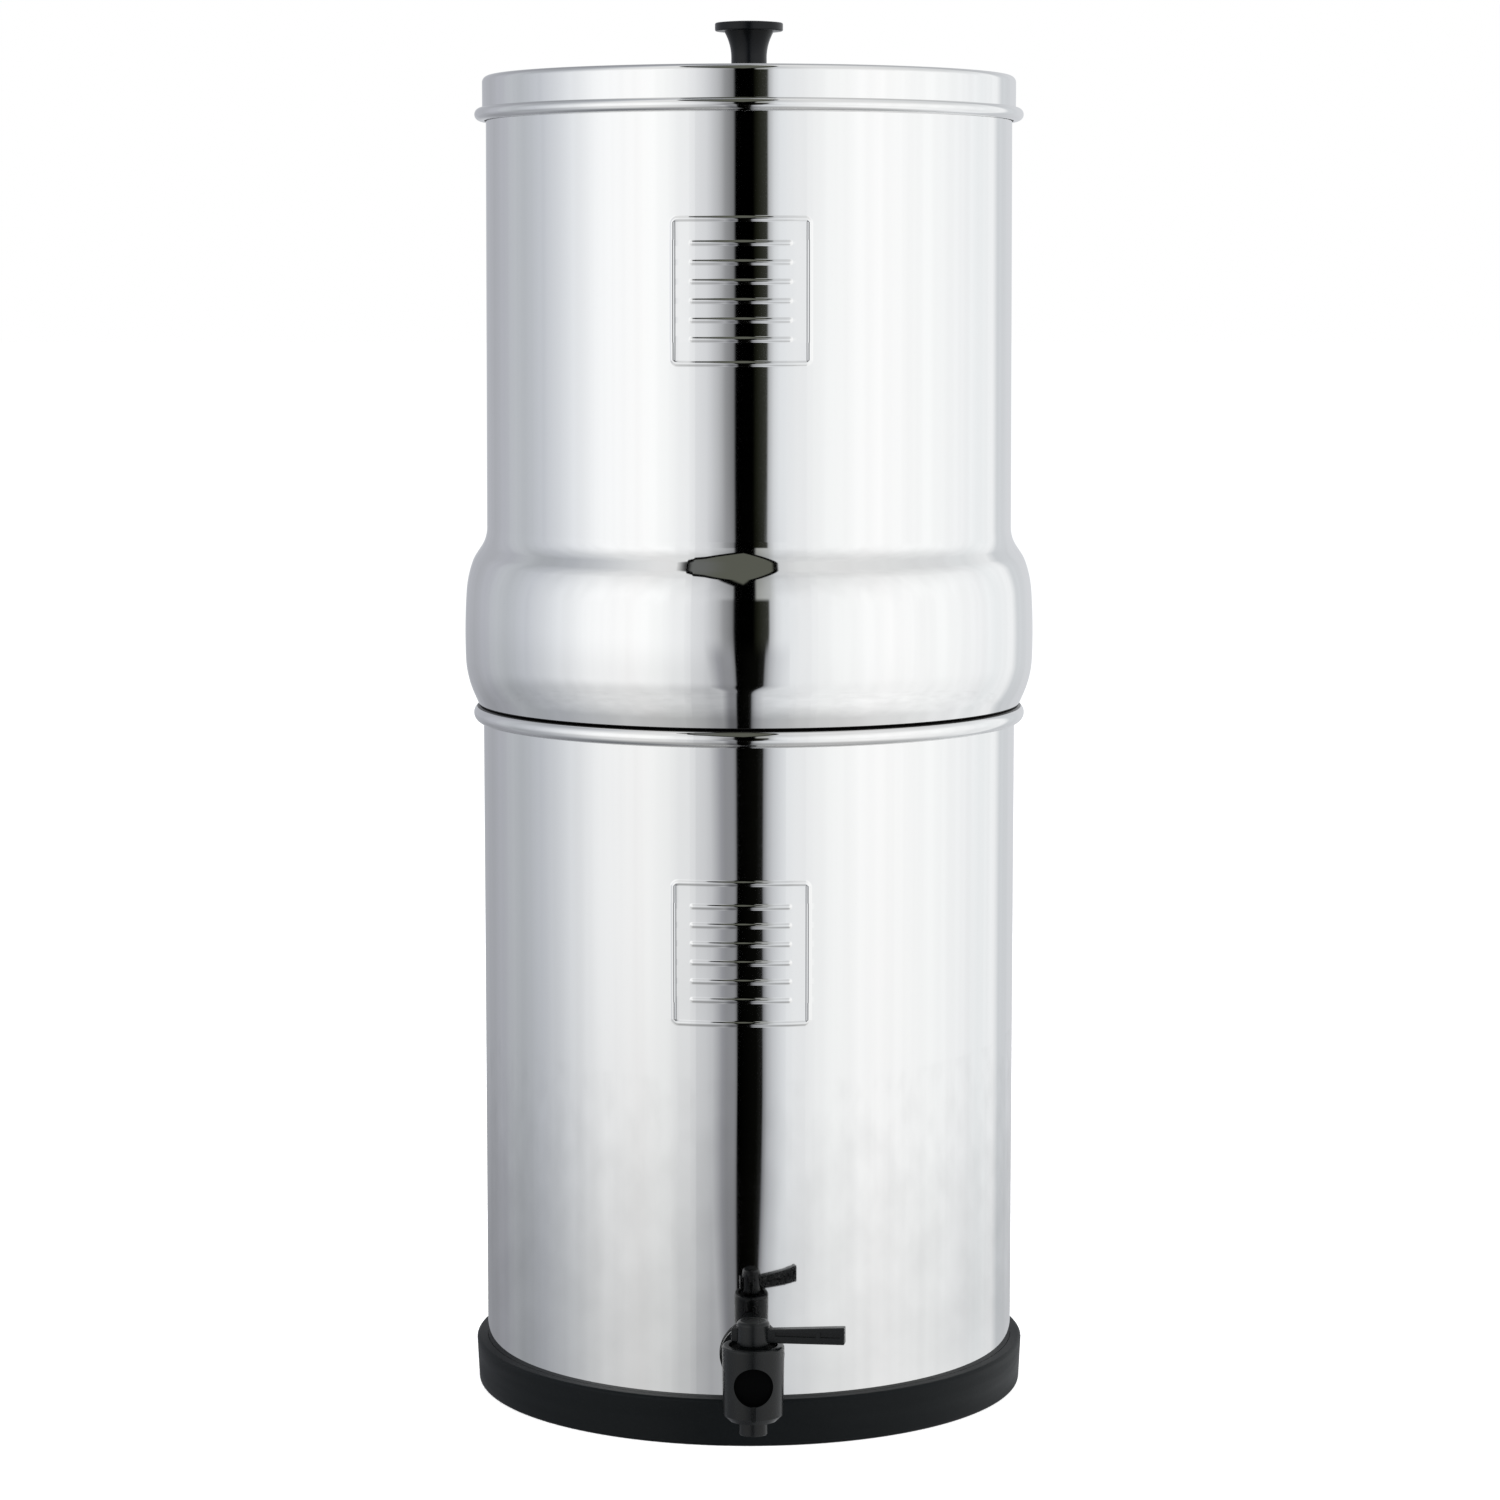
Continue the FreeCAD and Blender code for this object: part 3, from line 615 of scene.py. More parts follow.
def cut(target: Thing, tools: list[Thing], operation: str = "DIFFERENCE") -> None:
    """Cuts tools out of an object, or joins them to it, and removes the tools.

    Args:
        target: the object that changes.
        tools: closed objects.
        operation: DIFFERENCE or UNION.
    """
    for tool in tools:
        change = target.modifiers.new("cut", "BOOLEAN")
        change.operation = operation
        change.solver = "EXACT"
        change.object = tool
    graph = bpy.context.evaluated_depsgraph_get()
    mesh = bpy.data.meshes.new_from_object(target.evaluated_get(graph))
    target.modifiers.clear()
    target.data = mesh
    for tool in tools:
        bpy.data.objects.remove(tool)


def smooth(target: Thing, crease: float = 32.0) -> None:
    """Shades an object smoothly between its sharp edges.

    Args:
        target: the object.
        crease: the angle in degrees past which an edge is sharp.
    """
    target.data.shade_smooth()
    target.data.set_sharp_from_angle(angle=math.radians(crease))
    weighted = target.modifiers.new("normals", "WEIGHTED_NORMAL")
    weighted.keep_sharp = True


def eased(target: Thing, width: float, crease: float = 40.0) -> None:
    """Rounds an object's sharp edges a little, as a mould does.

    Args:
        target: the object.
        width: how far each edge is rounded.
        crease: the angle in degrees past which an edge is rounded.
    """
    bevel = target.modifiers.new("edges", "BEVEL")
    bevel.width = width
    bevel.segments = 2
    bevel.limit_method = "ANGLE"
    bevel.angle_limit = math.radians(crease)
    bevel.use_clamp_overlap = True


def fit(target: Thing, body: Body, slot: str, *nodes: str) -> Thing:
    """Places an object on its body, in the stead of the nodes it stands for.

    Args:
        target: the object.
        body: the body it rides on.
        slot: not used.
        nodes: the nodes it replaces.
    Returns:
        The object.
    """
    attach(target, body.value)
    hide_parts(*nodes)
    LOG.info("%s: %d faces on %s", target.name, len(target.data.polygons), body.value)
    return target


def upright(
    name: str, radius: float, low: float, high: float, centre: Place, steps: int = 96
) -> Thing:
    """An upright rod, as a tool or a blank.

    Args:
        name: its name.
        radius: its radius.
        low: the height of its foot.
        high: the height of its top.
        centre: where its axis stands.
        steps: how many sides it has.
    Returns:
        The rod.
    """
    outline = Outline(0, low).to(radius, low).to(radius, high).to(0, high)
    return solid(name, Turned(outline, columns=steps, centre=centre).mesh(), TAP_PLASTIC)


def lying(name: str, made: Mesh, front: float, height: float) -> Thing:
    """Lays a turned mesh down along Y.

    Args:
        name: the object's name.
        made: the mesh, turned about the vertical axis with its foot at 0.
        front: the Y of its front end.
        height: the height of its axis.
    Returns:
        The object.
    """
    place = Matrix.Translation((0, front, height)) @ Matrix.Rotation(-math.pi / 2, 4, "X")
    bmesh.ops.transform(made, matrix=place, verts=made.verts)
    return solid(name, made, TAP_PLASTIC)


def level(
    name: str, radius: float, front: float, back: float, height: float, steps: int = 96
) -> Thing:
    """A rod along Y, as a tool or a blank.

    Args:
        name: its name.
        radius: its radius.
        front: the Y of its front end.
        back: the Y of its back end.
        height: the height of its axis.
        steps: how many sides it has.
    Returns:
        The rod.
    """
    outline = Outline(0, 0).to(radius, 0).to(radius, back - front).to(0, back - front)
    return lying(name, Turned(outline, columns=steps).mesh(), front, height)


def bar(name: str, low: Vector, high: Vector) -> Thing:
    """A square-edged bar between two corners, as a tool or a blank."""
    made = bmesh.new()
    bmesh.ops.create_cube(made, size=1.0)
    size = high - low
    place = Matrix.Translation((low + high) / 2) @ Matrix.Diagonal((*size, 1))
    bmesh.ops.transform(made, matrix=place, verts=made.verts)
    return solid(name, made, TAP_PLASTIC)


@dataclass
class LowerVessel:
    """Lower steel vessel with a wired rim, a raised panel and a hole for the tap's barrel."""

    radius: float = 0.1069
    wall: float = 0.0008
    corner: float = 0.006
    rim_radius: float = 0.1108
    bead: float = 0.0035
    land: float = 0.0001
    floor: float = field(default_factory=lambda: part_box("lower_chamber")[0].z)
    top: float = field(default_factory=lambda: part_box("lower_chamber")[1].z)
    panel_height: float = 0.1913
    hole_radius: float = 0.0082
    hole_height: float = 0.0362
    low_rows: tuple[float, ...] = (0.024, 0.030, 0.036, 0.042, 0.048, 0.054)
    seam: float = 0.0006

    def outline(self, relief: Relief) -> Outline:
        """The half section, from the middle of the floor round the rim and back inside.

        Args:
            relief: the raised panel, for its rows.
        Returns:
            The outline.
        """
        corner = (self.radius - self.corner, self.floor + self.corner)
        bead = (self.rim_radius - self.bead, self.top + self.land - self.bead)
        land = math.degrees(math.acos((self.bead - self.land) / self.bead))
        under = math.degrees(math.acos((self.radius - bead[0]) / self.bead))
        inside = self.radius - self.wall
        drawn = Outline(0, self.floor).to(corner[0], self.floor)
        drawn.arc(corner, self.corner, -90, 0, 10)
        for height in self.low_rows:
            drawn.to(self.radius, height)
        for height in relief.rows():
            drawn.to(self.radius, height)
        drawn.arc(bead, self.bead, -under, 90 - land, 20)
        drawn.to(inside, self.top).to(inside, corner[1])
        drawn.arc(corner, self.corner - self.wall, 0, -90, 8)
        return drawn.to(0, self.floor + self.wall)

    def build(self) -> None:
        """Makes the vessel and cuts the tap's hole."""
        relief = Relief(self.panel_height)
        turned = Turned(self.outline(relief), relief=relief, wall=self.radius)
        vessel = solid("lower_vessel_shell", turned.mesh(), STEEL)
        front = -self.radius
        cut(vessel, [level("hole", self.hole_radius, front - DRILL, front + DRILL, self.hole_height, 64)])
        # The inside gets the rougher steel whose lighter tone is painted light.
        line(vessel, SATIN_STEEL_PAINTED_LIGHT, self.top)
        # The crease above the rim's bead gets dark steel as painted shade.
        heights = (self.top - self.seam, self.top + self.bead)
        shade(vessel, CREVICE_PAINTED_SHADE, heights, (self.radius, self.rim_radius))
        smooth(vessel)
        fit(vessel, Body.BASE, "steel_lower", "lower_chamber")


@dataclass
class UpperVessel:
    """Upper steel vessel: floor, neck, bulge, shoulder and a slightly tapered wall with a raised panel."""

    wall: float = 0.0008
    seat: float = field(default_factory=lambda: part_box("lower_chamber")[1].z)
    floor: float = field(default_factory=lambda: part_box("upper_chamber")[0].z)
    top: float = field(default_factory=lambda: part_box("upper_chamber")[1].z)
    neck_radius: float = 0.1053
    neck_corner: float = 0.005
    seat_width: float = 0.0024
    seat_curve: float = 0.0014
    bulge_radius: float = 0.11405
    foot_lean: float = 24.0
    low_lean: float = 2.0
    high_lean: float = 4.0
    low_curve: float = 0.0394
    crown_curve: float = 0.254
    shoulder_start: float = 20.0
    shoulder_lean: float = 34.0
    shoulder_high: float = 0.043
    shoulder_out: float = 0.015
    shoulder_in: float = 0.014
    foot_radius: float = 0.10505
    top_radius: float = 0.1044
    panel_height: float = 0.1650
    candle_circle: float = 0.056
    stem_hole: float = 0.0056
    seam: float = 0.0010
    under: float = 0.0002

    def outside(self, relief: Relief) -> Outline:
        """The outside from the middle of the floor to the top edge.

        Args:
            relief: the raised panel, for its rows.
        Returns:
            The outline.
        """
        neck = (self.neck_radius - self.neck_corner, self.floor + self.neck_corner)
        foot = math.radians(self.foot_lean)
        low = math.radians(self.low_lean)
        lean = math.radians(self.shoulder_lean)
        low_out = self.low_curve * (math.cos(low) - math.cos(foot))
        crown_out = self.crown_curve * (1 - math.cos(low))
        low_radius = self.bulge_radius - crown_out - low_out
        drawn = Outline(0, self.floor).to(neck[0], self.floor)
        drawn.arc(neck, self.neck_corner, -90, 0, 8)
        drawn.to(self.neck_radius, self.seat).to(self.neck_radius + self.seat_width, self.seat)
        drawn.onward(self.seat_curve, -90, -self.foot_lean, 8)
        here = drawn.places[-1]
        drawn.to(low_radius, here[1] + (low_radius - here[0]) / math.tan(foot))
        drawn.onward(self.low_curve, -self.foot_lean, -self.low_lean, 20)
        drawn.onward(self.crown_curve, -self.low_lean, self.high_lean, 24)
        drawn.onward(self.shoulder_high, self.high_lean, self.shoulder_start, 16)
        drawn.onward(self.shoulder_out, self.shoulder_start, self.shoulder_lean, 12)
        here = drawn.places[-1]
        in_radius = self.foot_radius + self.shoulder_in * (1 - math.cos(lean))
        drawn.to(in_radius, here[1] + (here[0] - in_radius) / math.tan(lean))
        drawn.onward(self.shoulder_in, 180 + self.shoulder_lean, 180, 20)
        in_height = drawn.places[-1][1]
        for height in relief.rows():
            share = (height - in_height) / (self.top - in_height)
            drawn.to(self.foot_radius + share * (self.top_radius - self.foot_radius), height)
        return drawn.to(self.top_radius, self.top)

    def build(self) -> None:
        """Makes the vessel as one sheet and cuts the candles' holes."""
        relief = Relief(self.seat + self.panel_height)
        outside = self.outside(relief).places
        inside = offset(outside, self.wall)
        both = Outline(*outside[0])
        both.places = outside + inside[::-1]
        turned = Turned(both, relief=relief, wall=(self.foot_radius + self.top_radius) / 2)
        vessel = solid("upper_vessel_shell", turned.mesh(), STEEL)
        holes = []
        for index in range(4):
            angle = TURN * (index + 0.5) / 4
            centre = (self.candle_circle * math.cos(angle), self.candle_circle * math.sin(angle))
            holes.append(upright("hole", self.stem_hole, self.floor - DRILL, self.floor + DRILL, centre, 48))
        cut(vessel, holes)
        # The inside gets the rougher steel whose lighter tone is painted light.
        line(vessel, SATIN_STEEL_PAINTED_LIGHT, self.top)
        # The foot of the bulge, where it meets the lower rim, gets dark steel as painted shade.
        outer = self.neck_radius + self.seat_width + self.seat_curve
        shade(vessel, CREVICE_PAINTED_SHADE, (self.seat - self.under, self.seat + self.seam), (self.neck_radius, outer))
        smooth(vessel)
        fit(vessel, Body.UPPER, "steel_upper", "upper_chamber")


def offset(places: list[Place], wall: float) -> list[Place]:
    """The inside of a sheet whose outside is a run of places from the axis outwards and up.

    Args:
        places: the outside.
        wall: the sheet's thickness.
    Returns:
        One place inside for each place outside.
    """
    made = []
    last = len(places) - 1
    for index, (radius, height) in enumerate(places):
        before = places[max(index - 1, 0)]
        after = places[min(index + 1, last)]
        into = Vector((radius - before[0], height - before[1]))
        out = Vector((after[0] - radius, after[1] - height))
        into = into.normalized() if into.length else out.normalized()
        out = out.normalized() if out.length else into
        along = (into + out).normalized()
        reach = wall / max(along.dot(into), 0.5)
        made.append((max(radius - along.y * reach, 0.0), height + along.x * reach))
    return made


@dataclass
class Lid:
    """Lid with a flat top, a skirt and a wired lower edge."""

    wall: float = 0.0008
    inside: float = 0.1051
    corner: float = 0.0025
    bead: float = 0.0025
    bead_radius: float = 0.1090
    hole: float = 0.0028
    foot: float = field(default_factory=lambda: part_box("lid")[0].z)
    top: float = field(default_factory=lambda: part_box("lid")[1].z)

    def build(self) -> None:
        """Makes the lid."""
        radius = self.inside + self.wall
        bead = (self.bead_radius - self.bead, self.foot + self.bead)
        over = math.degrees(math.acos((radius - bead[0]) / self.bead))
        corner = (radius - self.corner, self.top - self.corner)
        under = self.top - self.wall
        drawn = Outline(self.hole, under).to(corner[0], under)
        drawn.arc(corner, self.corner - self.wall, 90, 0, 8)
        drawn.to(self.inside, self.foot).to(bead[0], self.foot)
        drawn.arc(bead, self.bead, -90, over, 20)
        drawn.to(radius, corner[1])
        drawn.arc(corner, self.corner, 0, 90, 12)
        drawn.to(self.hole, self.top)
        lid = solid("lid_shell", Turned(drawn, loop=True).mesh(), STEEL)
        # The lid's underside gets the rougher steel whose lighter tone is painted light.
        line(lid, SATIN_STEEL_PAINTED_LIGHT, self.foot, -1)
        smooth(lid)
        fit(lid, Body.LID, "steel_lid", "lid")


@dataclass
class Knob:
    """Knob with a small foot, a waisted neck and a disc head."""

    foot_radius: float = 0.0095
    foot_height: float = 0.0016
    throat: float = 0.0104
    throat_curve: float = 0.0204
    neck_radius: float = 0.00705
    head_radius: float = 0.0135
    head_height: float = 0.0033
    crown: float = 0.0007
    edge: float = 0.0006
    bore: float = 0.00255
    bore_depth: float = 0.013
    foot: float = field(default_factory=lambda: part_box("lid_knob")[0].z)
    top: float = field(default_factory=lambda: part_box("lid_knob")[1].z)

    def build(self) -> None:
        """Makes the knob with its blind screw hole."""
        head = self.top - self.crown - self.head_height
        shoulder = self.top - self.crown
        edge = self.head_radius - self.edge
        curve = self.foot_radius - self.neck_radius
        flare = math.degrees(math.asin(self.throat / self.throat_curve))
        sphere = (edge ** 2 + self.crown ** 2) / (2 * self.crown)
        rim = math.degrees(math.asin((sphere - self.crown) / sphere))
        drawn = Outline(0, self.foot + self.bore_depth).to(self.bore, self.foot + self.bore_depth)
        drawn.to(self.bore, self.foot).to(self.foot_radius, self.foot)
        drawn.arc((self.foot_radius, self.foot + self.foot_height + curve), curve, 270, 180)
        throat = (self.neck_radius + self.throat_curve, head - self.throat)
        drawn.arc(throat, self.throat_curve, 180, 180 - flare, 16)
        drawn.arc((edge, head + self.edge), self.edge, -90, 0, 6)
        drawn.arc((edge, shoulder - self.edge), self.edge, 0, 90, 6)
        drawn.arc((0, self.top - sphere), sphere, rim, 90, 8)
        knob = solid("lid_knob_moulding", Turned(drawn, columns=96).mesh(), KNOB_PLASTIC)
        smooth(knob)
        fit(knob, Body.LID, "knob_plastic", "lid_knob")


@dataclass
class BaseRing:
    """Rubber ring with a ledge under the lower vessel."""

    top_radius: float = 0.1113
    foot_radius: float = 0.1105
    inside: float = 0.1070
    ledge: float = 0.0909
    ledge_height: float = 0.004
    corner: float = 0.006
    edge: float = 0.0014
    top: float = field(default_factory=lambda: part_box("base_ring")[1].z)

    def build(self) -> None:
        """Makes the ring."""
        drawn = Outline(self.ledge, 0).to(self.foot_radius - self.edge, 0)
        drawn.arc((self.foot_radius - self.edge, self.edge), self.edge, -90, 0)
        drawn.arc((self.top_radius - self.edge, self.top - self.edge), self.edge, 0, 90)
        drawn.to(self.inside, self.top).to(self.inside, self.ledge_height + self.corner)
        drawn.arc((self.inside - self.corner, self.ledge_height + self.corner), self.corner, 0, -90)
        drawn.to(self.ledge, self.ledge_height)
        ring = solid("base_ring_moulding", Turned(drawn, loop=True).mesh(), RING_RUBBER)
        smooth(ring)
        fit(ring, Body.BASE, "rubber_ring", "base_ring")


@dataclass
class Tap:
    """Tap housing with spout and barrel, a plug with a cap, and a lever through the cap."""

    axis: Place = (0.0, -0.148)
    barrel_height: float = 0.0362
    barrel_radius: float = 0.0085
    thread_radius: float = 0.0079
    barrel_bore: float = 0.004
    wall_face: float = -0.1089
    barrel_start: float = -0.1408
    barrel_end: float = -0.0861
    way_end: float = -0.1355
    flange_radius: float = 0.0123
    flange: float = 0.003
    top_radius: float = 0.0117
    foot_radius: float = 0.01135
    top: float = 0.050
    foot: float = 0.0215
    chamfer: float = 0.0022
    edge: float = 0.0009
    ease: float = 0.00025
    spout_radius: float = 0.0054
    spout_bore: float = 0.0036
    spout_end: float = 0.0159
    dimple_radius: float = 0.00735
    dimple_floor: float = -0.15595
    near: float = 0.0001
    groove_width: float = 0.0016
    groove_depth: float = 0.001
    plug_bore: float = 0.00655
    plug_foot: float = 0.0245
    plug_top: float = 0.046
    plug_edge: float = 0.0005
    plug_gap: float = 0.00005
    bonnet_bore: float = 0.00925
    waist_radius: float = 0.0052
    cap_radius: float = 0.0062
    cap_foot: float = 0.0506
    cap_top: float = 0.0593
    cap_edge: float = 0.0016
    lever_angle: float = math.radians(-10.0)
    lever_length: float = 0.0347
    lever_tail: float = 0.0081
    lever_thickness: float = 0.004
    lever_foot: float = 0.0512
    lever_height: float = 0.0052
    lever_end_foot: float = 0.0516
    lever_end_height: float = 0.0066
    lever_edge: float = 0.0004
    recess_edge: float = 0.0002
    lever_recess: float = 0.0007
    lever_recesses: tuple[tuple[float, float, float, float], ...] = (
        (0.0085, 0.0240, 0.0540, 0.0555),
        (0.0255, 0.0330, 0.0541, 0.0560),
    )

    def body(self) -> None:
        """Makes the housing, spout, barrel and flange as one moulding with its bores."""
        front = self.axis[1] - self.top_radius
        drawn = Outline(self.spout_bore, self.spout_end).to(self.spout_radius - self.ease, self.spout_end)
        drawn.to(self.spout_radius, self.spout_end + self.ease).to(self.spout_radius, self.foot)
        drawn.to(self.foot_radius - self.chamfer, self.foot).to(self.foot_radius, self.foot + self.chamfer)
        drawn.to(self.top_radius, self.top - self.edge)
        drawn.arc((self.top_radius - self.edge, self.top - self.edge), self.edge, 0, 90, 6)
        drawn.to(self.bonnet_bore, self.top).to(self.bonnet_bore, self.plug_top)
        drawn.to(self.plug_bore, self.plug_top).to(self.plug_bore, self.plug_foot)
        drawn.to(self.spout_bore, self.plug_foot)
        turned = Turned(drawn, loop=True, columns=128, shift=0.5, centre=self.axis)
        housing = solid("tap_body_moulding", turned.mesh(), TAP_PLASTIC)
        cut(housing, [self.barrel()], "UNION")
        groove = Vector((self.groove_width / 2, 0, 0))
        cut(
            housing,
            [
                level("way", self.barrel_bore - self.ease, self.axis[1], self.way_end, self.barrel_height),
                level("dimple", self.dimple_radius, front - PAST, self.dimple_floor, self.barrel_height),
                bar(
                    "groove",
                    Vector((0, front - PAST, self.foot - PAST)) - groove,
                    Vector((0, front + self.groove_depth, self.barrel_height)) + groove,
                ),
            ],
        )
        self.shade_dimple(housing)
        smooth(housing)
        fit(housing, Body.BASE, "tap_plastic", "tap_body")

    def barrel(self) -> Thing:
        """The barrel with its bore, flange and thread, from inside the housing's wall to behind the sheet."""
        flange = self.wall_face - self.flange
        drawn = Outline(self.barrel_bore, 0)
        for radius, start, stop in (
            (self.barrel_radius, self.barrel_start, flange),
            (self.flange_radius, flange, self.wall_face),
            (self.thread_radius, self.wall_face, self.barrel_end),
        ):
            drawn.to(radius, start - self.barrel_start).to(radius, stop - self.barrel_start)
        drawn.to(self.barrel_bore, self.barrel_end - self.barrel_start)
        made = Turned(drawn, loop=True, columns=96).mesh()
        return lying("barrel", made, self.barrel_start, self.barrel_height)

    def shade_dimple(self, housing: Thing) -> None:
        """Paints shade into the dimple: its floor and side get a near-black, dull plastic."""
        housing.data.materials.append(TAP_SHADE.material())
        for face in housing.data.polygons:
            corners = [housing.data.vertices[index].co for index in face.vertices]
            across = max(math.hypot(corner.x, corner.z - self.barrel_height) for corner in corners)
            if across < self.dimple_radius + self.near and face.center.y < self.dimple_floor + self.near:
                face.material_index = 1

    def plug(self) -> None:
        """Makes the plug, its stem and its cap with the lever's slot."""
        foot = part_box("tap_plug")[0].z
        radius = self.plug_bore - self.plug_gap
        drawn = Outline(0, foot).to(radius - self.plug_edge, foot).to(radius, foot + self.plug_edge)
        drawn.to(radius, self.plug_top)
        drawn.to(self.waist_radius, self.plug_top).to(self.waist_radius, self.cap_foot)
        drawn.to(self.cap_radius, self.cap_foot)
        drawn.arc((self.cap_radius - self.cap_edge, self.cap_top - self.cap_edge), self.cap_edge, 0, 90)
        drawn.to(0, self.cap_top)
        plug = solid("tap_plug_moulding", Turned(drawn, columns=96, centre=self.axis).mesh(), TAP_PLASTIC)
        half = self.lever_thickness / 2
        reach = 2 * self.cap_radius
        slot = bar(
            "slot",
            Vector((-reach, -half, self.lever_foot)),
            Vector((reach, half, self.lever_foot + self.lever_height)),
        )
        slot.data.transform(self.lever_place())
        cut(plug, [slot])
        smooth(plug)
        fit(plug, Body.VALVE, "tap_plastic", "tap_plug")

    def lever_place(self) -> Matrix:
        """Where the lever's own axes lie: its length along X, turned about the tap's axis."""
        return Matrix.Translation((*self.axis, 0)) @ Matrix.Rotation(self.lever_angle, 4, "Z")

    def lever(self) -> None:
        """Makes the lever as a bar that deepens towards its end, with a shallow channel in its front."""
        half = self.lever_thickness / 2
        stations = (
            (-self.lever_tail, self.lever_foot, self.lever_foot + self.lever_height),
            (self.cap_radius, self.lever_foot, self.lever_foot + self.lever_height),
            (self.lever_length, self.lever_end_foot, self.lever_end_foot + self.lever_end_height),
        )
        made = bmesh.new()
        rings = []
        for x, low, high in stations:
            corners = ((-half, low), (half, low), (half, high), (-half, high))
            rings.append([made.verts.new((x, y, z)) for y, z in corners])
        for first, second in zip(rings, rings[1:]):
            for index in range(4):
                after = (index + 1) % 4
                made.faces.new((first[index], first[after], second[after], second[index]))
        made.faces.new(rings[0])
        made.faces.new(rings[-1])
        bmesh.ops.recalc_face_normals(made, faces=made.faces)
        lever = solid("tap_lever_bar", made, TAP_PLASTIC)
        eased(lever, self.lever_edge, 25.0)
        recesses = []
        for side in (-1, 1):
            for start, stop, low, high in self.lever_recesses:
                depth = Vector((0, self.lever_recess, 0))
                face = Vector((0, side * half, 0))
                low_corner = Vector((start, 0, low)) + face - depth
                recesses.append(bar("recess", low_corner, Vector((stop, 0, high)) + face + depth))
        cut(lever, recesses)
        lever.data.transform(self.lever_place())
        eased(lever, self.recess_edge, 40.0)
        smooth(lever)
        fit(lever, Body.VALVE, "tap_plastic", "tap_lever")

    def build(self) -> None:
        """Makes the tap's three mouldings."""
        self.body()
        self.plug()
        self.lever()


@dataclass
class CarriedOver:
    """Nodes whose own shape is right, and which only need their finish."""

    finishes: dict[str, Finish] = field(
        default_factory=lambda: {
            "filter_shell": CANDLE_CERAMIC,
            "filter_core": CANDLE_CARBON,
            "filter_mount": CUP_PLASTIC,
            "filter_washers": SEAL_RUBBER,
            "filter_wing_nuts": NUT_PLASTIC,
            "lid_knob_washer": FASTENER_STEEL,
            "lid_knob_screw": FASTENER_STEEL,
            # The bonnet sits in the recess under the cap; its near-black finish is painted shade.
            "tap_bonnet": TAP_SHADE,
            "tap_plug_seals": SEAL_RUBBER,
            "tap_outer_washer": SEAL_RUBBER,
            "tap_inner_washer": SEAL_RUBBER,
            "tap_lock_nut": NUT_PLASTIC,
        }
    )

    def build(self) -> None:
        """Gives each node the finish whose name its own name begins with."""
        for start, finish in self.finishes.items():
            for name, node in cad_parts.items():
                if name.startswith(start):
                    node.data.materials.clear()
                    node.data.materials.append(finish.material())
                    LOG.info("%s: finish %s", name, finish.name)


@dataclass(frozen=True)
class Glow:
    """Brightness of the studio wall in one direction, in degrees from the camera's side towards +X."""

    angle: float
    colour: Colour


def grey(angle: float, level: float) -> Glow:
    """A glow without a tint."""
    return Glow(angle, (level, level, level))


@dataclass(frozen=True)
class Lamp:
    """A soft square lamp."""

    name: str
    place: tuple[float, float, float]
    size: float
    watts: float


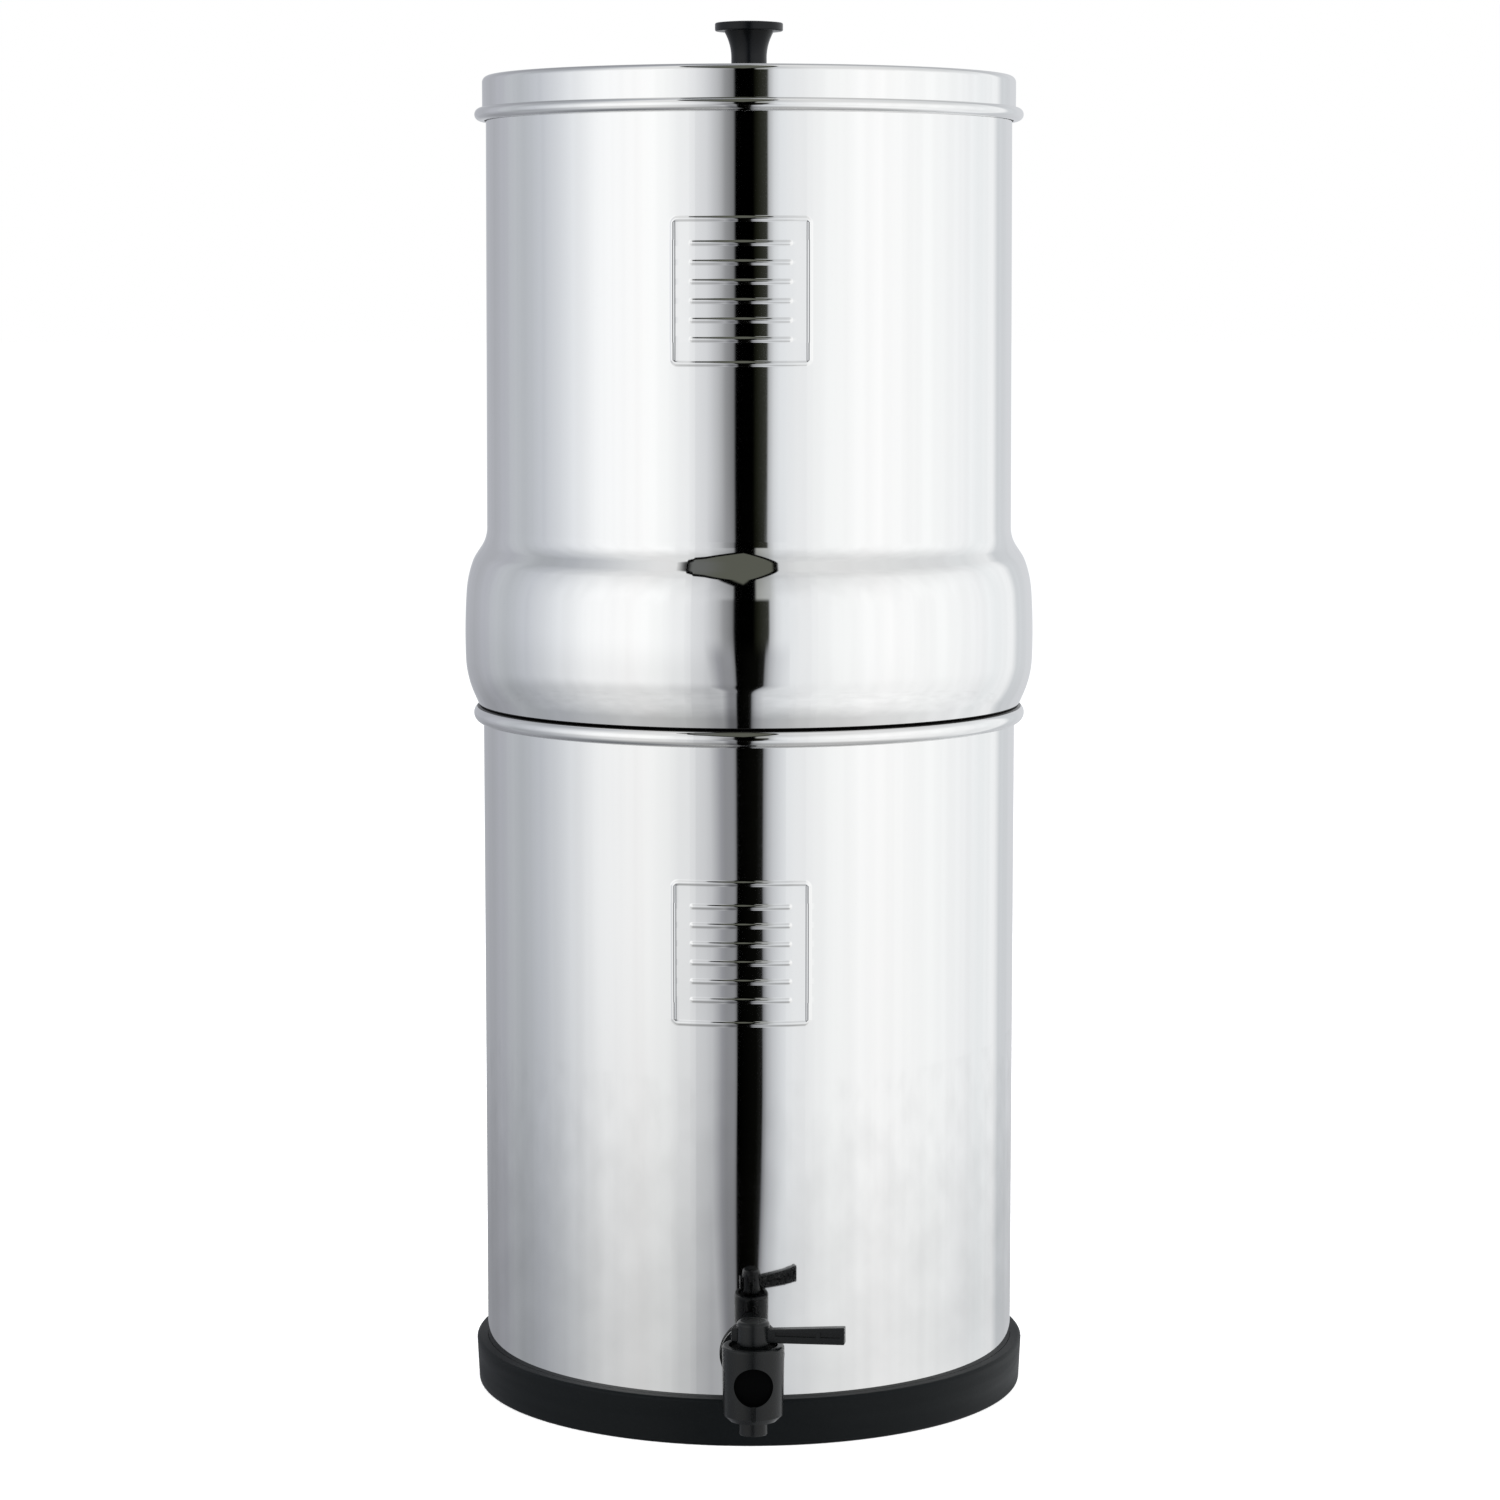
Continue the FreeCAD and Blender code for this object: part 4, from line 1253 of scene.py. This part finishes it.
@dataclass
class Studio:
    """Camera, floor, lamps and the pale wall with a dark gap that the steel reflects.

    The wall is described by two directions in degrees: the angle round it and the rise above its middle. The
    ramps give its colour by angle, and the slides change that with the rise. The gap is narrower and stands
    further left low down, and a dull patch closes it overhead.
    """

    distance: float = 1.6719
    height: float = 0.4449
    swing: float = math.radians(-0.62)
    aside: float = 0.0004
    pitch: float = math.radians(6.3946)
    lens: float = 99.85
    sensor: float = 36.0
    wall_radius: float = 4.0
    wall_middle: float = 0.35
    card_radius: float = 0.85
    card_height: float = -0.002
    card_dim: Slide = Slide(0.15, 0.85, 0.86, 1.0)
    card_blotches: Place = (-0.05, 0.03)
    floor_size: float = 30.0
    floor_tone: float = 0.85
    floor_glow: float = 0.45
    floor_white: float = 0.18
    soft: float = 0.5
    aim: float = 0.25
    lamps: tuple[Lamp, ...] = (
        Lamp("lamp_left", (-1.6, -1.5, 1.6), 1.4, 22.0),
        Lamp("lamp_right", (1.8, -1.2, 1.5), 1.4, 26.0),
        Lamp("lamp_top", (0.0, 0.3, 2.2), 1.6, 18.0),
    )
    glow: float = 1.38
    streaks: Place = (0.96, 1.03)
    walls: tuple[Glow, ...] = (
        Glow(-180, (0.44, 0.45, 0.47)), Glow(-162, (0.37, 0.38, 0.41)), Glow(-144, (0.38, 0.39, 0.42)),
        Glow(-134, (0.43, 0.44, 0.48)), Glow(-122, (0.49, 0.51, 0.54)), Glow(-114, (0.46, 0.48, 0.51)),
        Glow(-100, (0.54, 0.56, 0.60)), Glow(-84, (0.72, 0.74, 0.77)), Glow(-66, (0.94, 0.95, 0.96)),
        grey(-48, 1.00), Glow(-37, (0.96, 0.97, 0.97)), Glow(-27, (0.84, 0.85, 0.86)),
        Glow(-17, (0.62, 0.63, 0.65)), Glow(0, (0.60, 0.61, 0.63)), Glow(12, (0.74, 0.76, 0.78)),
        Glow(22, (0.83, 0.84, 0.85)), Glow(34, (0.93, 0.94, 0.94)), grey(56, 0.98),
        Glow(84, (0.94, 0.95, 0.95)), Glow(106, (0.87, 0.88, 0.89)), Glow(116, (0.84, 0.86, 0.87)),
        Glow(131, (0.86, 0.87, 0.88)), Glow(137, (0.59, 0.61, 0.63)), Glow(160, (0.56, 0.57, 0.59)),
        Glow(180, (0.44, 0.45, 0.47)),
    )
    gap: tuple[Glow, ...] = (
        grey(-17.0, 1.0), grey(-14.0, 0.80), grey(-12.2, 0.66), grey(-10.4, 0.45), grey(-7.2, 0.28),
        grey(-6.2, 0.0), grey(1.0, 0.0), Glow(3.0, (0.017, 0.018, 0.011)), Glow(6.9, (0.055, 0.056, 0.046)),
        grey(7.6, 0.62), grey(9.7, 0.90), grey(12.0, 1.0),
    )
    low_gap: tuple[Glow, ...] = (
        grey(-19.5, 1.0), Glow(-16.2, (0.70, 0.70, 0.71)), Glow(-14.2, (0.52, 0.52, 0.54)),
        Glow(-12.2, (0.45, 0.45, 0.46)), Glow(-8.2, (0.44, 0.44, 0.45)), grey(-7.1, 0.33), grey(-6.4, 0.0),
        Glow(3.0, (0.004, 0.004, 0.003)), Glow(5.8, (0.02, 0.02, 0.018)), Glow(6.5, (0.33, 0.33, 0.34)),
        Glow(8.4, (0.62, 0.62, 0.63)), Glow(10.8, (0.80, 0.80, 0.81)), grey(17.0, 1.0),
    )
    high_gap: tuple[Glow, ...] = (
        grey(-17.0, 1.0), grey(-10.0, 0.62), grey(-7.0, 0.45), grey(-6.2, 0.0), grey(1.6, 0.0),
        Glow(2.6, (0.50, 0.50, 0.46)), Glow(7.6, (0.66, 0.66, 0.64)), grey(10.0, 0.95), grey(12.0, 1.0),
    )
    to_low: Slide = Slide(-1.5, -6.0)
    to_high: Slide = Slide(12.0, 17.0)
    dip: Slide = Slide(-13.0, -24.0)
    dip_aside: float = 5.4
    narrowing: Slide = Slide(0.0, -12.0, 1.0, 1.22)
    dip_narrowing: Slide = Slide(0.0, 1.0, 1.0, 1.84)
    sides: Slide = Slide(-18.0, 18.0)
    left_dims: tuple[Slide, Slide] = (Slide(-2.0, -9.0, 1.0, 0.90), Slide(-9.0, -20.0, 1.0, 0.80))
    right_dim: Slide = Slide(-2.0, -20.0, 1.0, 0.94)
    dims: tuple[Slide, ...] = (
        Slide(12.0, 46.0, 1.0, 0.76),
        Slide(-21.0, -32.0, 1.0, 1.06),
        Slide(-32.0, -62.0, 1.0, 0.55),
    )
    patch_foot: float = 25.0
    patch_middle: float = -3.0
    patch_slopes: Place = (-0.85, 1.8)
    patch_edge: Slide = Slide(-1.5, 0.5, 1.0, 0.0)
    patch_start: Slide = Slide(3.5, 6.5)
    patch_side: Slide = Slide(-12.0, -34.0)
    overhead: Colour = (0.13, 0.135, 0.11)
    overhead_side: Colour = (0.17, 0.175, 0.17)

    def camera(self) -> None:
        """Stands the camera where the picture was taken from."""
        data = bpy.data.cameras.new("camera")
        data.lens = self.lens
        data.sensor_width = self.sensor
        ahead = Vector((-math.sin(self.swing), math.cos(self.swing), 0))
        right = Vector((ahead.y, -ahead.x, 0))
        camera = bpy.data.objects.new("camera", data)
        camera.location = right * self.aside - ahead * self.distance + Vector((0, 0, self.height))
        camera.rotation_euler = (math.pi / 2 - self.pitch, 0, self.swing)
        bpy.context.scene.collection.objects.link(camera)
        bpy.context.scene.camera = camera

    @staticmethod
    def ramp(nodes: Nodes, angle: Socket, glows: tuple[Glow, ...]) -> Socket:
        """A colour by direction.

        Args:
            nodes: the wall's nodes.
            angle: the direction in degrees.
            glows: the colours along it.
        Returns:
            The colour.
        """
        low, high = glows[0].angle, glows[-1].angle
        share = nodes.add("ShaderNodeMapRange", Value=angle, From_Min=low, From_Max=high).outputs[0]
        ramp = nodes.add("ShaderNodeValToRGB", Fac=share)
        stops = ramp.color_ramp.elements
        while len(stops) < len(glows):
            stops.new(0.5)
        for stop, glow in zip(stops, glows):
            stop.position = (glow.angle - low) / (high - low)
            stop.color = (*glow.colour, 1)
        return ramp.outputs["Color"]

    def wall_material(self) -> Material:
        """The studio wall's glow: pale at both sides, a dark gap between them and a dull patch overhead."""
        made = bpy.data.materials.new("studio_wall")
        made.use_nodes = True
        nodes = Nodes(made.node_tree)
        place = nodes.add("ShaderNodeTexCoord").outputs["Object"]
        axes = nodes.add("ShaderNodeSeparateXYZ", Vector=place)
        forward = nodes.sum("MULTIPLY", axes.outputs["Y"], -1.0)
        angle = nodes.sum("DEGREES", nodes.sum("ARCTAN2", axes.outputs["X"], forward))
        climb = nodes.sum("ARCSINE", nodes.sum("DIVIDE", axes.outputs["Z"], self.wall_radius))
        rise = nodes.sum("DEGREES", climb)
        colour = self.wall_colour(nodes, angle, climb, rise)
        off = nodes.sum("SUBTRACT", angle, self.patch_middle)
        slopes = [nodes.sum("MULTIPLY", off, slope) for slope in self.patch_slopes]
        above = nodes.sum("SUBTRACT", rise, self.patch_foot)
        inside = nodes.sum("SUBTRACT", above, nodes.sum("MAXIMUM", *slopes))
        bright = self.wall_strength(nodes, angle, rise)
        bright = nodes.sum("MULTIPLY", bright, nodes.span(inside, self.patch_edge))
        light = nodes.add("ShaderNodeEmission", Color=colour, Strength=bright)
        tone = nodes.mix(nodes.span(angle, self.patch_side), self.overhead, self.overhead_side)
        dull = nodes.add("ShaderNodeEmission", Color=tone, Strength=nodes.span(inside, self.patch_start))
        nodes.end("Material", nodes.both(light.outputs[0], dull.outputs[0]))
        return made

    def wall_colour(self, nodes: Nodes, angle: Socket, climb: Socket, rise: Socket) -> Socket:
        """The wall's colour, with the dark gap at its own place and width for each rise.

        Args:
            nodes: the wall's nodes.
            angle: the angle round the wall in degrees.
            climb: the rise in radians.
            rise: the rise in degrees.
        Returns:
            The colour.
        """
        dip = nodes.span(rise, self.dip)
        narrow = nodes.sum("MULTIPLY", nodes.span(rise, self.narrowing), nodes.span(dip, self.dip_narrowing))
        narrow = nodes.sum("MULTIPLY", narrow, nodes.sum("SQRT", nodes.sum("COSINE", climb)))
        across = nodes.sum("MULTIPLY_ADD", angle, narrow, nodes.sum("MULTIPLY", dip, self.dip_aside))
        middle = self.ramp(nodes, across, self.gap)
        for slide, glows in ((self.to_low, self.low_gap), (self.to_high, self.high_gap)):
            middle = nodes.blend("MIX", nodes.span(rise, slide), middle, self.ramp(nodes, across, glows))
        return nodes.blend("MULTIPLY", 1.0, self.ramp(nodes, angle, self.walls), middle)

    def wall_strength(self, nodes: Nodes, angle: Socket, rise: Socket) -> Socket:
        """The wall's strength without the patch overhead.

        Args:
            nodes: the wall's nodes.
            angle: the angle round the wall in degrees.
            rise: the rise in degrees.
        Returns:
            The strength.
        """
        left, lower_left = (nodes.span(rise, slide) for slide in self.left_dims)
        side = nodes.add("ShaderNodeMix", {"data_type": "FLOAT"})
        nodes.put(side.inputs[0], nodes.span(angle, self.sides))
        nodes.put(side.inputs[2], nodes.sum("MULTIPLY", left, lower_left))
        nodes.put(side.inputs[3], nodes.span(rise, self.right_dim))
        bright = nodes.sum("MULTIPLY", self.glow, side.outputs[0])
        streaks = nodes.between(nodes.noise(2.2, 5.0, (1, 1, 0.03)), *self.streaks)
        for factor in (streaks, *(nodes.span(rise, slide) for slide in self.dims)):
            bright = nodes.sum("MULTIPLY", bright, factor)
        return bright

    @staticmethod
    def stand(name: str, made: Mesh, material: Material, height: float, unseen: tuple[str, ...]) -> None:
        """Stands a piece of the studio in the scene.

        Args:
            name: its name.
            made: its mesh, which is freed.
            material: its material.
            height: the height of its middle.
            unseen: the kinds of ray that pass it.
        """
        mesh = bpy.data.meshes.new(name)
        made.to_mesh(mesh)
        made.free()
        mesh.materials.append(material)
        piece = bpy.data.objects.new(name, mesh)
        piece.location = (0, 0, height)
        bpy.context.scene.collection.objects.link(piece)
        for kind in unseen:
            setattr(piece, "visible_" + kind, False)

    def shadow_card(self) -> None:
        """Dims what the steel mirrors of the table close by, as the object's own shadow does there."""
        made = bmesh.new()
        bmesh.ops.create_circle(made, cap_ends=True, segments=96, radius=self.card_radius)
        material = bpy.data.materials.new("shadow_card")
        material.use_nodes = True
        nodes = Nodes(material.node_tree)
        place = nodes.add("ShaderNodeTexCoord").outputs["Object"]
        away = nodes.add("ShaderNodeVectorMath", {"operation": "LENGTH"})
        nodes.put(away.inputs[0], place)
        blotches = nodes.between(nodes.noise(9.0, 3.0), *self.card_blotches)
        near = nodes.sum("ADD", nodes.span(away.outputs["Value"], self.card_dim), blotches)
        clear = nodes.add("ShaderNodeBsdfTransparent", Color=nodes.sum("MINIMUM", near, 1.0))
        nodes.end("Material", clear.outputs[0])
        unseen = ("camera", "diffuse", "transmission", "shadow", "volume_scatter")
        self.stand("shadow_card", made, material, self.card_height, unseen)

    def wall(self) -> None:
        """Builds the studio wall, which only reflections see."""
        made = bmesh.new()
        bmesh.ops.create_uvsphere(made, u_segments=64, v_segments=32, radius=self.wall_radius)
        unseen = ("camera", "diffuse", "shadow", "transmission")
        self.stand("studio_wall", made, self.wall_material(), self.wall_middle, unseen)

    def floor(self) -> None:
        """Lays a pale floor that keeps the object's shadow, and that the steel does not mirror."""
        made = bmesh.new()
        bmesh.ops.create_grid(made, x_segments=1, y_segments=1, size=self.floor_size)
        material = bpy.data.materials.new("floor")
        material.use_nodes = True
        nodes = Nodes(material.node_tree)
        tone = (self.floor_tone, self.floor_tone, self.floor_tone, 1)
        pale = nodes.add("ShaderNodeBsdfDiffuse", Color=tone)
        seen = nodes.add("ShaderNodeLightPath").outputs["Is Camera Ray"]
        bright = nodes.sum("MULTIPLY_ADD", seen, self.floor_white, self.floor_glow)
        glow = nodes.add("ShaderNodeEmission", Color=(1, 1, 1, 1), Strength=bright)
        nodes.end("Material", nodes.both(pale.outputs[0], glow.outputs[0]))
        self.stand("floor", made, material, 0.0, ("glossy",))

    def world(self) -> None:
        """Makes the surroundings white for the camera and reflections, and a soft even light otherwise."""
        world = bpy.data.worlds.new("studio")
        world.use_nodes = True
        bpy.context.scene.world = world
        nodes = Nodes(world.node_tree)
        path = nodes.add("ShaderNodeLightPath").outputs
        seen = nodes.sum("MAXIMUM", path["Is Camera Ray"], path["Is Glossy Ray"])
        seen = nodes.sum("MAXIMUM", seen, path["Is Transmission Ray"])
        white = nodes.add("ShaderNodeBackground", Color=(1, 1, 1, 1), Strength=1.0)
        soft = nodes.add("ShaderNodeBackground", Color=(0.96, 0.98, 1, 1), Strength=self.soft)
        mix = nodes.add("ShaderNodeMixShader", Fac=seen)
        nodes.put(mix.inputs[1], soft.outputs[0])
        nodes.put(mix.inputs[2], white.outputs[0])
        nodes.end("World", mix.outputs[0])

    def hang(self, lamp: Lamp) -> None:
        """Hangs a lamp that points at the object's middle, unseen by camera and reflections."""
        data = bpy.data.lights.new(lamp.name, "AREA")
        data.size = lamp.size
        data.energy = lamp.watts
        hung = bpy.data.objects.new(lamp.name, data)
        hung.location = lamp.place
        aim = Vector((0, 0, self.aim)) - Vector(lamp.place)
        hung.rotation_euler = aim.to_track_quat("-Z", "Y").to_euler()
        bpy.context.scene.collection.objects.link(hung)
        hung.visible_glossy = False
        hung.visible_camera = False

    def build(self) -> None:
        """Sets up the whole studio."""
        bpy.context.scene.view_settings.view_transform = "Standard"
        self.camera()
        self.world()
        self.wall()
        self.shadow_card()
        self.floor()
        for lamp in self.lamps:
            self.hang(lamp)


def corners(box: tuple[Vector, Vector]) -> list[list[float]]:
    """A box's two corners as plain lists."""
    return [list(corner) for corner in box]


def main() -> None:
    """Builds the studio and every piece."""
    logging.basicConfig(level=logging.INFO, format="%(name)s %(message)s")
    studio = Studio()
    studio.build()
    for part in (LowerVessel(), UpperVessel(), Lid(), Knob(), BaseRing(), Tap(), CarriedOver()):
        LOG.info("building %s", type(part).__name__)
        part.build()


if __name__ == "__main__":
    main()
